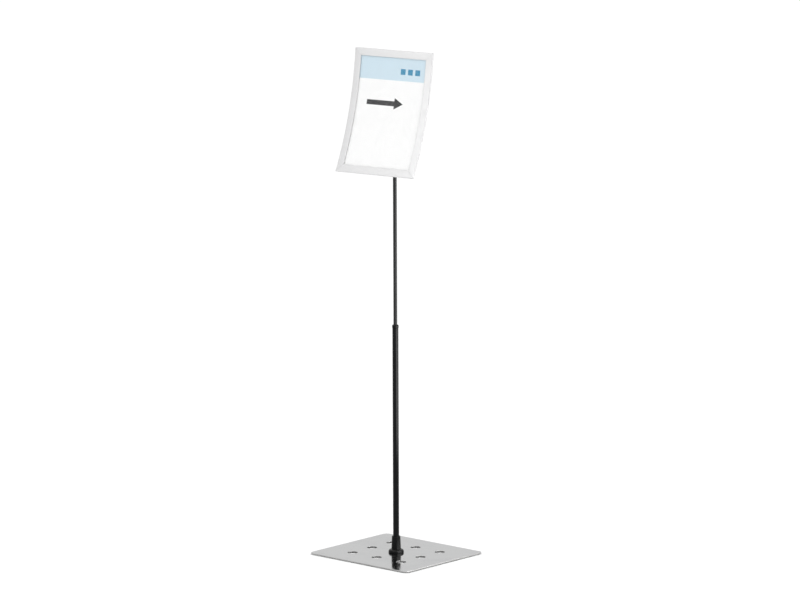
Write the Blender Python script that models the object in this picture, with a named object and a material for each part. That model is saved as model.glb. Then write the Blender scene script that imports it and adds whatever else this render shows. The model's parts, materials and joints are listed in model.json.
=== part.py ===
"""Floor sign stand: a rectangular steel foot, a two-stage telescopic post and a curved A4 sign head.

Metres, +Z up. The origin is the centre of the foot, on the floor. The reader stands towards -Y.
"""
import math

import bmesh
import bpy
from mathutils import Vector

# Clearances
GAP = 0.0003             # left between two pieces that touch on the real stand
RUN = 0.0003             # radial, between pieces that turn or slide in each other
CUT = 0.004              # reach of a cutter beyond what it cuts

# Foot: plate on four pads
PLATE_WIDTH = 0.344
PLATE_DEPTH = 0.306
PLATE_THICK = 0.003
PLATE_CORNER = 0.014
HOLE_DIA = 0.0265
HOLE_PITCH_X = 0.0855    # the holes stand on a 3 by 3 grid, without the middle one
HOLE_PITCH_Y = 0.077
PAD_DIA = 0.020
PAD_THICK = 0.0015
PAD_INSET = 0.026        # pad centre to the plate's edges

# Base bolt and the threaded plug that it pulls on
BOLT_DIA = 0.006
BOLT_HEAD_RIM = 0.0025   # head beyond the thread, all round
BOLT_HEAD_HEIGHT = 0.0026
BOLT_RECESS = 0.0001     # head below the plate's underside
BOLT_GRIP = 0.014        # thread inside the plug
HEX_KEY = 0.004
HEX_KEY_DEPTH = 0.0018
PLUG_LENGTH = 0.022
PLUG_BORE_DEPTH = 0.018

# Bell-shaped socket
SOCKET_MOUTH_WALL = 0.0031
SOCKET_FOOT_WALL = 0.0042
SOCKET_FLANGE = 0.0078   # flange beyond the foot of the body, all round
SOCKET_RIM = 0.0030      # straight rim of the flange
SOCKET_DOME = 0.0090     # top of the flange's dome
SOCKET_HEIGHT = 0.0437
SOCKET_FLOOR = 0.0050
SOCKET_LIP = 0.0012      # radius of the rounded mouth

# Post. The lower tube's bore is the upper tube plus the collar's wall and clearances.
LOWER_WALL = 0.0012
LOWER_LENGTH = 0.5958
UPPER_DIA = 0.010
UPPER_WALL = 0.0010
UPPER_LENGTH = 0.632
OVERLAP = 0.1045         # upper tube hidden in the lower one, as stored

# Collar in the lower tube's mouth
COLLAR_WALL = 0.0012     # of the spigot between the two tubes
COLLAR_BROW = 0.0006     # collar beyond the lower tube, all round
COLLAR_HEIGHT = 0.0090
COLLAR_ROUND = 0.0030
COLLAR_SPIGOT = 0.022

# Twist lock in the lower tube
SPINDLE_PLUG = 0.018     # pressed into the upper tube
SPINDLE_SHOULDER = 0.004
SHOULDER_PLAY = 0.0006   # radial, of the shoulder in the lower tube
SPINDLE_SCREW_DIA = 0.006
SPINDLE_SCREW_LENGTH = 0.042
SLEEVE_LENGTH = 0.033
SLEEVE_PLAY = 0.0002     # radial, of the open sleeve in the lower tube
SLEEVE_MOUTH_WALL = 0.0010
SLEEVE_TAPER = 0.017
SLEEVE_SLOT = 0.0018
SLEEVE_SLOT_RUNOUT = 0.0056   # slot above the taper
CONE_LENGTH = 0.014
CONE_ENTRY = 0.008       # cone's length inside the sleeve's taper
CONE_CLEAR = 0.0006      # radial, from the relaxed taper
CONE_KEY = 0.0010

# Head bracket
BRACKET_WALL = 0.0037
BRACKET_SLEEVE_LENGTH = 0.044
BRACKET_CAP = 0.005
BRACKET_BEVEL = 0.001
BRACKET_DISC_DIA = 0.038
BRACKET_DISC_THICK = 0.005
ARM_THICK = 0.014
ARM_TOP_DROP = 0.002     # below the bracket's top, where the arm leaves the sleeve
ARM_ROOT_DROP = 0.038    # the same at the arm's underside
ARM_HEEL_DROP = 0.034    # and at its heel, which stands ahead of the sleeve
ARM_HEEL_OUT = 0.004
ARM_SEAT_HIGH = 0.45     # on the disc, in disc radii below its centre
ARM_SEAT_LOW = 0.95
SET_SCREW_DIA = 0.004
SET_SCREW_LENGTH = 0.0034
SET_SCREW_HEIGHT = 0.018  # above the sleeve's lower end

# Pivot stack behind the panel, from the panel backwards
PIVOT_PLATE_SIDE = 0.056
PIVOT_PLATE_CORNER = 0.006
PIVOT_PLATE_THICK = 0.003
PIVOT_BOLT_DIA = 0.006
PIVOT_HEAD_RIM = 0.0025
PIVOT_HEAD_HEIGHT = 0.0025
PIVOT_BOLT_END = 0.0012   # thread standing out of the nut
FRICTION_WASHER_INSET = 0.002   # inside the disc's edge
FRICTION_WASHER_THICK = 0.001
SPRING_WASHER_RIM = 0.0032
SPRING_WASHER_THICK = 0.0005
SPRING_WASHER_DISH = 0.0005
NUT_WALL = 0.002          # from the thread to the flats
NUT_HEIGHT = 0.005
PANEL_SCREW_DIA = 0.003
PANEL_SCREW_HEAD_RIM = 0.00125
PANEL_SCREW_HEAD_HEIGHT = 0.0015
PANEL_SCREW_INSET = 0.008  # from the pivot plate's edges
PANEL_SCREW_RECESS = 0.0002

# Curved panel. Its front face is part of a cylinder that is hollow towards the reader.
SHEET_WIDTH = 0.210
SHEET_LENGTH = 0.297      # along the curve
SHEET_THICK = 0.0003
RAIL_MARGIN_SIDE = 0.0155  # panel beyond the sheet, at each side
RAIL_MARGIN_END = 0.0169   # and at the top and the bottom
CURVE_RADIUS = 0.822
PANEL_LEAN = math.radians(17.0)   # at mid height, the top leaning back
PANEL_REACH = 0.0352      # front face at mid height, ahead of the post's axis
PANEL_RISE = 0.0442       # the same point above the upper tube's end
HEAD_TURN = math.radians(8.2)     # of the head about the post, as stored
COVER_THICK = 0.0008
COVER_TOP = 0.001         # cover's upper edge below the panel's
LIP_THICK = 0.0015
LIP_OVERLAP_SIDE = 0.0042  # of the side rails over the sheet
LIP_OVERLAP_END = 0.0030   # of the top and bottom rails over the sheet
LIP_CHAMFER = 0.0008
RAIL_EDGE = 0.0006        # chamfer of a rail's outer front edge
RAIL_WALL = 0.002
BACK_THICK = 0.002
MITRE_GAP = 0.0004
ARC_STEPS = 24

HOLE_STEPS = 32           # sides of the plate's holes
STEPS = 40                # sides of the larger round pieces
SMALL_STEPS = 24          # sides of screws and washers

# Heights and depths that follow from the sizes above
PLATE_BOTTOM = PAD_THICK + GAP
PLATE_TOP = PLATE_BOTTOM + PLATE_THICK
SOCKET_BOTTOM = PLATE_TOP + GAP
LOWER_BOTTOM = SOCKET_BOTTOM + SOCKET_FLOOR + GAP
LOWER_TOP = LOWER_BOTTOM + LOWER_LENGTH
LOWER_BORE = UPPER_DIA + 2 * (RUN + COLLAR_WALL + GAP)
LOWER_DIA = LOWER_BORE + 2 * LOWER_WALL
UPPER_BORE = UPPER_DIA - 2 * UPPER_WALL
UPPER_BOTTOM = LOWER_TOP - OVERLAP
PANEL_WIDTH = SHEET_WIDTH + 2 * RAIL_MARGIN_SIDE
PANEL_LENGTH = SHEET_LENGTH + 2 * RAIL_MARGIN_END
COVER_FRONT = LIP_THICK + GAP
SHEET_FRONT = COVER_FRONT + COVER_THICK + GAP
BACK_FRONT = SHEET_FRONT + SHEET_THICK + GAP
PANEL_DEPTH = BACK_FRONT + BACK_THICK
PIVOT_PLATE_FRONT = PANEL_DEPTH + GAP
PIVOT_PLATE_BACK = PIVOT_PLATE_FRONT + PIVOT_PLATE_THICK
DISC_FRONT = PIVOT_PLATE_BACK + GAP + FRICTION_WASHER_THICK + GAP
DISC_BACK = DISC_FRONT + BRACKET_DISC_THICK
SPRING_WASHER_FRONT = DISC_BACK + GAP
NUT_FRONT = SPRING_WASHER_FRONT + SPRING_WASHER_THICK + SPRING_WASHER_DISH + GAP
LIP_SIDE = RAIL_MARGIN_SIDE + LIP_OVERLAP_SIDE
LIP_END = RAIL_MARGIN_END + LIP_OVERLAP_END
PIVOT_LOCAL = Vector((0, -PANEL_REACH, UPPER_LENGTH + PANEL_RISE))


# ---------------------------------------------------------------- shared tools

def material(name, colour, roughness, metallic):
    """Plain Principled material."""
    made = bpy.data.materials.new(name)
    made.use_nodes = True
    shader = made.node_tree.nodes["Principled BSDF"]
    shader.inputs["Base Color"].default_value = (*colour, 1)
    shader.inputs["Roughness"].default_value = roughness
    shader.inputs["Metallic"].default_value = metallic
    return made


def finish(name, bm, finish_of, parent=None, at=(0, 0, 0), turn=(0, 0, 0)):
    """Turn a bmesh into a named, smooth-shaded object."""
    bmesh.ops.remove_doubles(bm, verts=bm.verts, dist=1e-6)
    bmesh.ops.recalc_face_normals(bm, faces=bm.faces)
    mesh = bpy.data.meshes.new(name)
    bm.to_mesh(mesh)
    bm.free()
    mesh.shade_smooth()
    mesh.set_sharp_from_angle(angle=math.radians(30))
    if finish_of is not None:
        mesh.materials.append(finish_of)
    made = bpy.data.objects.new(name, mesh)
    bpy.context.scene.collection.objects.link(made)
    made.parent = parent
    made.location = at
    made.rotation_euler = turn
    return made


def turned(profile, steps):
    """Solid of revolution about Z from a loop of (radius, height); it may start and end on the axis."""
    bm = bmesh.new()
    ring = [bm.verts.new((radius, 0, height)) for radius, height in profile]
    edges = [bm.edges.new(pair) for pair in zip(ring, ring[1:])]
    if profile[0][0] > 0:
        edges.append(bm.edges.new((ring[-1], ring[0])))
    bmesh.ops.spin(bm, geom=ring + edges, cent=(0, 0, 0), axis=(0, 0, 1), dvec=(0, 0, 0),
                   angle=2 * math.pi, steps=steps, use_merge=True)
    return bm


def prism(outline, low, high, point=lambda a, b, c: (a, b, c)):
    """Solid between two copies of an outline, at low and high; point maps (a, b, height) to space."""
    bm = bmesh.new()
    bottom = [bm.verts.new(point(a, b, low)) for a, b in outline]
    top = [bm.verts.new(point(a, b, high)) for a, b in outline]
    bm.faces.new(bottom)
    bm.faces.new(top)
    for i in range(len(outline)):
        j = (i + 1) % len(outline)
        bm.faces.new((bottom[i], bottom[j], top[j], top[i]))
    return bm


def circle(radius, steps, centre=(0, 0), start=0.0):
    """Points on a circle."""
    return [(centre[0] + radius * math.cos(start + 2 * math.pi * i / steps),
             centre[1] + radius * math.sin(start + 2 * math.pi * i / steps)) for i in range(steps)]


def rounded_box(width, depth, corner, steps=8):
    """Outline of a rectangle with rounded corners."""
    outline = []
    x, y = width / 2 - corner, depth / 2 - corner
    for quarter, (sx, sy) in enumerate(((1, 1), (-1, 1), (-1, -1), (1, -1))):
        for i in range(steps + 1):
            angle = math.pi / 2 * (quarter + i / steps)
            outline.append((sx * x + corner * math.cos(angle), sy * y + corner * math.sin(angle)))
    return outline


def arc(centre, radius, start, end, steps):
    """Points on an arc, from one angle to another, in degrees."""
    angles = [math.radians(start + (end - start) * i / steps) for i in range(steps + 1)]
    return [(centre[0] + radius * math.cos(a), centre[1] + radius * math.sin(a)) for a in angles]


def boolean(target, tool, operation):
    """Cut or join a guide shape; the guide itself isn't part of the object."""
    modifier = target.modifiers.new(tool.name, "BOOLEAN")
    modifier.operation = operation
    modifier.solver = "EXACT"
    modifier.object = tool
    tool.hide_render = True
    tool.display_type = "WIRE"


def empty(name, parent=None, at=(0, 0, 0), turn=(0, 0, 0)):
    """Joint axis that moving pieces hang on."""
    made = bpy.data.objects.new(name, None)
    bpy.context.scene.collection.objects.link(made)
    made.parent = parent
    made.location = at
    made.rotation_euler = turn
    made.empty_display_size = 0.03
    return made


def sunk_screw(dia, rim, head_height, length, key, key_depth):
    """Countersunk screw, head at height 0 and thread upwards, with a hexagon socket in its head."""
    hexagon = key / math.sqrt(3)
    bm = turned([(0, length), (dia / 2, length), (dia / 2, head_height), (dia / 2 + rim, 0), (0, 0)],
                SMALL_STEPS)
    return bm, prism(circle(hexagon, 6), -key_depth, key_depth)


def sunk_hole(dia, rim, head_height, reach):
    """Cutter for a countersunk screw that stands at height 0."""
    narrow = dia / 2 + GAP
    wide = narrow + rim
    return turned([(0, reach), (narrow, reach), (narrow, head_height), (wide, 0), (wide, -reach), (0, -reach)],
                  SMALL_STEPS)


# ---------------------------------------------------------------- foot

def make_foot():
    """Plate with its eight holes, the four pads under it and the bolt through its middle."""
    plate = finish("base_plate", prism(rounded_box(PLATE_WIDTH, PLATE_DEPTH, PLATE_CORNER), 0, PLATE_THICK),
                   polished_steel, at=(0, 0, PLATE_BOTTOM))
    grid = [(x, y) for x in (-1, 0, 1) for y in (-1, 0, 1) if (x, y) != (0, 0)]
    for number, (x, y) in enumerate(grid, 1):
        hole = prism(circle(HOLE_DIA / 2, HOLE_STEPS), -CUT, PLATE_THICK + CUT)
        cutter = finish(f"cut_plate_hole_{number}", hole, None,
                        at=(x * HOLE_PITCH_X, y * HOLE_PITCH_Y, PLATE_BOTTOM))
        boolean(plate, cutter, "DIFFERENCE")

    head_at = PLATE_BOTTOM + BOLT_RECESS
    sink = finish("cut_plate_bolt", sunk_hole(BOLT_DIA, BOLT_HEAD_RIM, BOLT_HEAD_HEIGHT, PLATE_THICK + CUT),
                  None, at=(0, 0, head_at))
    boolean(plate, sink, "DIFFERENCE")

    length = LOWER_BOTTOM + BOLT_GRIP - head_at
    screw, socket = sunk_screw(BOLT_DIA, BOLT_HEAD_RIM, BOLT_HEAD_HEIGHT, length, HEX_KEY, HEX_KEY_DEPTH)
    bolt = finish("base_bolt", screw, zinc_steel, at=(0, 0, head_at))
    boolean(bolt, finish("cut_base_bolt_key", socket, None, at=(0, 0, head_at)), "DIFFERENCE")

    pad_x, pad_y = PLATE_WIDTH / 2 - PAD_INSET, PLATE_DEPTH / 2 - PAD_INSET
    for number, (x, y) in enumerate(((1, 1), (-1, 1), (-1, -1), (1, -1)), 1):
        finish(f"foot_pad_{number}", prism(circle(PAD_DIA / 2, SMALL_STEPS), 0, PAD_THICK), black_rubber,
               at=(x * pad_x, y * pad_y, 0))


def make_socket():
    """Bell-shaped socket that holds the lower tube upright."""
    bore = LOWER_DIA / 2 + GAP
    mouth = bore + SOCKET_MOUTH_WALL
    body = bore + SOCKET_FOOT_WALL
    flange = body + SOCKET_FLANGE
    outer = arc((mouth - SOCKET_LIP, SOCKET_HEIGHT - SOCKET_LIP), SOCKET_LIP, 90, 0, 3)
    dome = [(body + (flange - body) * math.sin(a), SOCKET_RIM + (SOCKET_DOME - SOCKET_RIM) * math.cos(a))
            for a in (math.radians(90 * i / 6) for i in range(7))]
    inner = [(BOLT_DIA / 2 + GAP, 0), (BOLT_DIA / 2 + GAP, SOCKET_FLOOR), (bore, SOCKET_FLOOR),
             (bore, SOCKET_HEIGHT)]
    finish("base_socket", turned(outer + dome + [(flange, 0)] + inner, STEPS), black_moulding,
           at=(0, 0, SOCKET_BOTTOM))


# ---------------------------------------------------------------- post

def make_tube(name, dia, wall, length, finish_of, parent=None, at=(0, 0, 0)):
    """Plain drawn tube."""
    outer = dia / 2
    inner = outer - wall
    finish(name, turned([(inner, length), (outer, length), (outer, 0), (inner, 0)], STEPS), finish_of,
           parent=parent, at=at)


def make_lower_post():
    """Lower tube with the threaded plug in its foot and the collar in its mouth."""
    make_tube("lower_tube", LOWER_DIA, LOWER_WALL, LOWER_LENGTH, gloss_black, at=(0, 0, LOWER_BOTTOM))

    plug = LOWER_BORE / 2 - GAP
    thread = BOLT_DIA / 2 + GAP
    finish("lower_plug", turned([(0, PLUG_LENGTH), (plug, PLUG_LENGTH), (plug, 0), (thread, 0),
                                 (thread, PLUG_BORE_DEPTH), (0, PLUG_BORE_DEPTH)], STEPS),
           zinc_steel, at=(0, 0, LOWER_BOTTOM))

    outer = LOWER_DIA / 2 + COLLAR_BROW
    bore = UPPER_DIA / 2 + RUN
    spigot = LOWER_BORE / 2 - GAP
    shoulder = arc((outer - COLLAR_ROUND, COLLAR_HEIGHT - COLLAR_ROUND), COLLAR_ROUND, 90, 0, 5)
    finish("top_collar", turned([(bore, COLLAR_HEIGHT)] + shoulder
                                + [(outer, 0), (spigot, 0), (spigot, -COLLAR_SPIGOT), (bore, -COLLAR_SPIGOT)],
                                STEPS), black_moulding, at=(0, 0, LOWER_TOP + GAP))


def make_twist_lock(slide, mast):
    """Spindle in the upper tube's end, with the split sleeve and the cone that spreads it."""
    screw = SPINDLE_SCREW_DIA / 2
    shoulder = LOWER_BORE / 2 - SHOULDER_PLAY
    plug = UPPER_BORE / 2 - GAP
    shoulder_top = -GAP
    shoulder_low = shoulder_top - SPINDLE_SHOULDER
    finish("lock_spindle", turned([(0, SPINDLE_PLUG), (plug, SPINDLE_PLUG), (plug, shoulder_top),
                                   (shoulder, shoulder_top), (shoulder, shoulder_low), (screw, shoulder_low),
                                   (screw, shoulder_low - SPINDLE_SCREW_LENGTH),
                                   (0, shoulder_low - SPINDLE_SCREW_LENGTH)], SMALL_STEPS),
           white_nylon, parent=mast)

    sleeve_low = shoulder_low - GAP - SLEEVE_LENGTH
    sleeve_out = LOWER_BORE / 2 - SLEEVE_PLAY
    sleeve_in = screw + RUN
    mouth = sleeve_out - SLEEVE_MOUTH_WALL
    sleeve = finish("lock_sleeve",
                    turned([(sleeve_in, SLEEVE_LENGTH), (sleeve_out, SLEEVE_LENGTH), (sleeve_out, 0),
                            (mouth, 0), (sleeve_in, SLEEVE_TAPER)], STEPS),
                    white_nylon, parent=slide, at=(0, 0, sleeve_low))
    half = SLEEVE_SLOT / 2
    slot = finish("cut_sleeve_slot", prism([(0, -half), (LOWER_DIA, -half), (LOWER_DIA, half), (0, half)],
                                           -CUT, SLEEVE_TAPER + SLEEVE_SLOT_RUNOUT),
                  None, parent=slide, at=(0, 0, sleeve_low))
    boolean(sleeve, slot, "DIFFERENCE")

    # The cone sits in the sleeve's taper with a running gap; its wide end stands below the sleeve.
    taper = (mouth - sleeve_in) / SLEEVE_TAPER
    small = mouth - CONE_CLEAR - CONE_ENTRY * taper
    large = small + CONE_LENGTH * taper
    cone = finish("lock_cone", turned([(sleeve_in, 0), (small, 0), (large, -CONE_LENGTH),
                                       (sleeve_in, -CONE_LENGTH)], STEPS),
                  zinc_steel, parent=slide, at=(0, 0, sleeve_low + CONE_ENTRY))
    half = CONE_KEY / 2
    root = (sleeve_in + small) / 2
    key = finish("join_cone_key", prism([(root, -half), (sleeve_out, -half), (sleeve_out, half), (root, half)],
                                        RUN - CONE_LENGTH, -CONE_ENTRY / 2),
                 None, parent=slide, at=(0, 0, sleeve_low + CONE_ENTRY))
    boolean(cone, key, "UNION")


# ---------------------------------------------------------------- head bracket and pivot

def to_the_back(a, b, depth):
    """Outline in the local XZ plane, extruded backwards along local Y."""
    return (a, depth, b)


def make_bracket(mast):
    """One casting: sleeve over the upper tube, arm, and the disc that the panel turns on."""
    bore = UPPER_DIA / 2 + GAP
    outer = bore + BRACKET_WALL
    top = UPPER_LENGTH + GAP + BRACKET_CAP
    bottom = top - BRACKET_SLEEVE_LENGTH
    sleeve = turned([(0, top), (outer - BRACKET_BEVEL, top), (outer, top - BRACKET_BEVEL), (outer, bottom),
                     (bore, bottom), (bore, top - BRACKET_CAP), (0, top - BRACKET_CAP)], STEPS)
    bracket = finish("head_bracket", sleeve, satin_black, parent=mast)

    # The arm runs from the front of the sleeve up to the lower half of the disc.
    disc = BRACKET_DISC_DIA / 2
    high = pivot_to_mast(DISC_BACK - GAP, -disc * ARM_SEAT_HIGH)
    low = pivot_to_mast(DISC_FRONT + GAP, -disc * ARM_SEAT_LOW)
    root = bore + GAP
    outline = [(-root, top - ARM_TOP_DROP), (high.y, high.z), (low.y, low.z),
               (-outer - ARM_HEEL_OUT, top - ARM_HEEL_DROP), (-root, top - ARM_ROOT_DROP)]
    half = ARM_THICK / 2
    arm = finish("join_bracket_arm", prism(outline, -half, half, lambda y, z, x: (x, y, z)), None, parent=mast)
    boolean(bracket, arm, "UNION")

    lean = (-PANEL_LEAN, 0, 0)
    plate = finish("join_bracket_disc", prism(circle(disc, STEPS), DISC_FRONT, DISC_BACK, to_the_back), None,
                   parent=mast, at=PIVOT_LOCAL, turn=lean)
    boolean(bracket, plate, "UNION")

    bolt_hole = prism(circle(PIVOT_BOLT_DIA / 2 + RUN, SMALL_STEPS), DISC_FRONT - CUT, DISC_BACK + CUT,
                      to_the_back)
    boolean(bracket, finish("cut_bracket_pivot", bolt_hole, None, parent=mast, at=PIVOT_LOCAL, turn=lean),
            "DIFFERENCE")

    # The set screw enters from behind and stops on the tube.
    screw_at = (0, 0, bottom + SET_SCREW_HEIGHT)
    radius = SET_SCREW_DIA / 2
    tapped = prism(circle(radius + GAP, SMALL_STEPS), 0, outer + CUT, to_the_back)
    boolean(bracket, finish("cut_bracket_set_screw", tapped, None, parent=mast, at=screw_at), "DIFFERENCE")
    screw = finish("set_screw", prism(circle(radius, SMALL_STEPS), bore, bore + SET_SCREW_LENGTH, to_the_back),
                   zinc_steel, parent=mast, at=screw_at)
    key = prism(circle(radius / 2, 6), bore + SET_SCREW_LENGTH / 2, outer + CUT, to_the_back)
    boolean(screw, finish("cut_set_screw_key", key, None, parent=mast, at=screw_at), "DIFFERENCE")


def pivot_to_mast(depth, up):
    """Point behind the panel's centre, in the mast's frame."""
    lean = PANEL_LEAN
    return PIVOT_LOCAL + Vector((0, depth * math.cos(lean) + up * math.sin(lean),
                                 up * math.cos(lean) - depth * math.sin(lean)))


def backwards(bm):
    """Lay a piece turned about Z along the pivot axis, its height becoming depth."""
    for vert in bm.verts:
        vert.co = Vector((vert.co.x, vert.co.z, vert.co.y))
    return bm


def make_pivot(mast, pivot):
    """Bolt, washers and nut that hold the panel's plate to the bracket's disc."""
    run = PIVOT_BOLT_DIA / 2 + RUN
    outline = rounded_box(PIVOT_PLATE_SIDE, PIVOT_PLATE_SIDE, PIVOT_PLATE_CORNER, 4)
    plate = finish("pivot_plate", prism(outline, PIVOT_PLATE_FRONT, PIVOT_PLATE_BACK, to_the_back),
                   satin_black, parent=pivot)
    head_at = PIVOT_PLATE_FRONT + GAP
    end = NUT_FRONT + NUT_HEIGHT + PIVOT_BOLT_END
    bolt = turned([(0, end), (PIVOT_BOLT_DIA / 2, end), (PIVOT_BOLT_DIA / 2, head_at + PIVOT_HEAD_HEIGHT),
                   (PIVOT_BOLT_DIA / 2 + PIVOT_HEAD_RIM, head_at), (0, head_at)], SMALL_STEPS)
    finish("pivot_bolt", backwards(bolt), zinc_steel, parent=pivot)
    sink = sunk_hole(PIVOT_BOLT_DIA, PIVOT_HEAD_RIM, PIVOT_HEAD_HEIGHT, PIVOT_PLATE_THICK + CUT)
    boolean(plate, finish("cut_pivot_plate_bolt", backwards(sink), None, parent=pivot, at=(0, head_at, 0)),
            "DIFFERENCE")

    washer = BRACKET_DISC_DIA / 2 - FRICTION_WASHER_INSET
    front = PIVOT_PLATE_BACK + GAP
    finish("friction_washer", backwards(turned([(run, front + FRICTION_WASHER_THICK),
                                                (washer, front + FRICTION_WASHER_THICK),
                                                (washer, front), (run, front)], STEPS)),
           white_nylon, parent=mast, at=PIVOT_LOCAL, turn=(-PANEL_LEAN, 0, 0))

    rim = run + SPRING_WASHER_RIM
    dished = SPRING_WASHER_FRONT + SPRING_WASHER_DISH
    finish("spring_washer", backwards(turned([(run, dished + SPRING_WASHER_THICK),
                                              (rim, SPRING_WASHER_FRONT + SPRING_WASHER_THICK),
                                              (rim, SPRING_WASHER_FRONT), (run, dished)], SMALL_STEPS)),
           zinc_steel, parent=mast, at=PIVOT_LOCAL, turn=(-PANEL_LEAN, 0, 0))

    corner = (PIVOT_BOLT_DIA + 2 * NUT_WALL) / math.sqrt(3)
    nut = finish("lock_nut", prism(circle(corner, 6), NUT_FRONT, NUT_FRONT + NUT_HEIGHT, to_the_back),
                 zinc_steel, parent=pivot)
    thread = prism(circle(PIVOT_BOLT_DIA / 2 + GAP, SMALL_STEPS), 0, end + CUT, to_the_back)
    boolean(nut, finish("cut_lock_nut", thread, None, parent=pivot), "DIFFERENCE")
    return plate


# ---------------------------------------------------------------- curved panel

def on_panel(x, along, depth):
    """Point of the panel: across, up along the curve from its middle, and behind the front face."""
    angle = along / CURVE_RADIUS
    radius = CURVE_RADIUS + depth
    return Vector((x, radius * math.cos(angle) - CURVE_RADIUS, radius * math.sin(angle)))


def curved_sheet(half_width, low, high, front, back):
    """Sheet that follows the curve, as a closed solid."""
    section = [(-half_width, front), (half_width, front), (half_width, back), (-half_width, back)]
    return swept(section, lambda x, depth: low, lambda x, depth: high)


def swept(section, start, end):
    """Sweep a section of (across, depth) points up the curve, each from its own start to its own end."""
    bm = bmesh.new()
    rows = []
    for step in range(ARC_STEPS + 1):
        share = step / ARC_STEPS
        rows.append([bm.verts.new(on_panel(x, start(x, depth) * (1 - share) + end(x, depth) * share, depth))
                     for x, depth in section])
    for low, high in zip(rows, rows[1:]):
        for i in range(len(section)):
            j = (i + 1) % len(section)
            bm.faces.new((low[i], low[j], high[j], high[i]))
    bm.faces.new(rows[0])
    bm.faces.new(rows[-1])
    return bm


def rail_section(width, rebate):
    """Moulding of a rail as (distance from the outer edge, depth), with the sheet's rebate."""
    return [(0, RAIL_EDGE), (RAIL_EDGE, 0), (width - LIP_CHAMFER, 0), (width, LIP_CHAMFER), (width, LIP_THICK),
            (rebate, LIP_THICK), (rebate, BACK_FRONT - GAP), (RAIL_WALL, BACK_FRONT - GAP),
            (RAIL_WALL, PANEL_DEPTH), (0, PANEL_DEPTH)]


def make_side_rail(name, side, pivot):
    """Side rail, mitred into the bottom rail and let in under the top one."""
    mitre = LIP_END / LIP_SIDE
    edge = PANEL_WIDTH / 2
    foot = -PANEL_LENGTH / 2 + MITRE_GAP
    rebate = RAIL_MARGIN_SIDE - GAP
    section = [(side * (edge - inset), depth) for inset, depth in rail_section(LIP_SIDE, rebate)]
    rail = finish(name, swept(section, lambda x, depth: foot + (edge - abs(x)) * mitre,
                              lambda x, depth: PANEL_LENGTH / 2), silver_moulding, parent=pivot)
    inside = LIP_SIDE + CUT
    head = PANEL_LENGTH / 2 - MITRE_GAP
    clear = PANEL_LENGTH / 2 + CUT
    wedge = [(side * (edge - inset), along) for inset, along in
             ((-CUT, head + CUT * mitre), (inside, head - inside * mitre), (inside, clear), (-CUT, clear))]
    cutter = finish(f"cut_{name}_head", prism(wedge, -CUT, LIP_THICK + GAP, on_panel), None, parent=pivot)
    boolean(rail, cutter, "DIFFERENCE")


def make_end_rail(name, section, end, pivot):
    """Top or bottom rail, a straight length of its section with mitred ends."""
    mitre = LIP_SIDE / LIP_END
    bm = bmesh.new()
    rows = []
    for side in (-1, 1):
        rows.append([bm.verts.new(on_panel(side * (PANEL_WIDTH / 2 - inset * mitre),
                                           end * (PANEL_LENGTH / 2 - inset), depth))
                     for inset, depth in section])
    for i in range(len(section)):
        j = (i + 1) % len(section)
        bm.faces.new((rows[0][i], rows[0][j], rows[1][j], rows[1][i]))
    bm.faces.new(rows[0])
    bm.faces.new(rows[1])
    finish(name, bm, silver_moulding, parent=pivot)


def make_panel(pivot, pivot_plate):
    """Four rails, the back, the clear cover and the screws that hold the pivot plate."""
    rebate_end = RAIL_MARGIN_END - GAP
    for name, side in (("rail_left", -1), ("rail_right", 1)):
        make_side_rail(name, side, pivot)
    make_end_rail("rail_bottom", rail_section(LIP_END, rebate_end), -1, pivot)
    lip = [(0, RAIL_EDGE), (RAIL_EDGE, 0), (LIP_END - LIP_CHAMFER, 0), (LIP_END, LIP_CHAMFER),
           (LIP_END, LIP_THICK), (0, LIP_THICK)]
    make_end_rail("rail_top", lip, 1, pivot)

    inside = PANEL_WIDTH / 2 - RAIL_WALL - GAP
    back = finish("back_panel", curved_sheet(inside, -PANEL_LENGTH / 2 + RAIL_WALL + GAP,
                                             PANEL_LENGTH / 2 - GAP, BACK_FRONT, PANEL_DEPTH),
                  silver_moulding, parent=pivot)

    finish("clear_cover", curved_sheet(SHEET_WIDTH / 2, -SHEET_LENGTH / 2, PANEL_LENGTH / 2 - COVER_TOP,
                                       COVER_FRONT, COVER_FRONT + COVER_THICK), clear_plastic, parent=pivot)

    half = PIVOT_PLATE_SIDE / 2 - PANEL_SCREW_INSET
    head_at = BACK_FRONT + PANEL_SCREW_RECESS
    length = PIVOT_PLATE_BACK - GAP - head_at
    for number, (x, z) in enumerate(((1, 1), (-1, 1), (-1, -1), (1, -1)), 1):
        spot = (x * half, head_at, z * half)
        screw, key = sunk_screw(PANEL_SCREW_DIA, PANEL_SCREW_HEAD_RIM, PANEL_SCREW_HEAD_HEIGHT, length,
                                PANEL_SCREW_DIA / 2, PANEL_SCREW_HEAD_HEIGHT / 2)
        made = finish(f"panel_screw_{number}", backwards(screw), zinc_steel, parent=pivot, at=spot)
        boolean(made, finish(f"cut_panel_screw_key_{number}", backwards(key), None, parent=pivot, at=spot),
                "DIFFERENCE")
        hole = finish(f"cut_panel_screw_{number}",
                      backwards(sunk_hole(PANEL_SCREW_DIA, PANEL_SCREW_HEAD_RIM, PANEL_SCREW_HEAD_HEIGHT,
                                          2 * length)), None, parent=pivot, at=spot)
        boolean(back, hole, "DIFFERENCE")
        boolean(pivot_plate, hole, "DIFFERENCE")


def make_insert(pivot):
    """Printed A4 sheet; it slides out upwards, turning about the curve's own axis."""
    axis = empty("insert_axis", parent=pivot, at=(0, -CURVE_RADIUS, 0))
    half = SHEET_LENGTH / 2
    bm = curved_sheet(SHEET_WIDTH / 2, -half, half, SHEET_FRONT, SHEET_FRONT + SHEET_THICK)
    for vert in bm.verts:
        vert.co.y += CURVE_RADIUS
    finish("paper_insert", bm, white_paper, parent=axis)


# ---------------------------------------------------------------- the whole stand

for old in list(bpy.data.objects):
    bpy.data.objects.remove(old)

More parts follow.
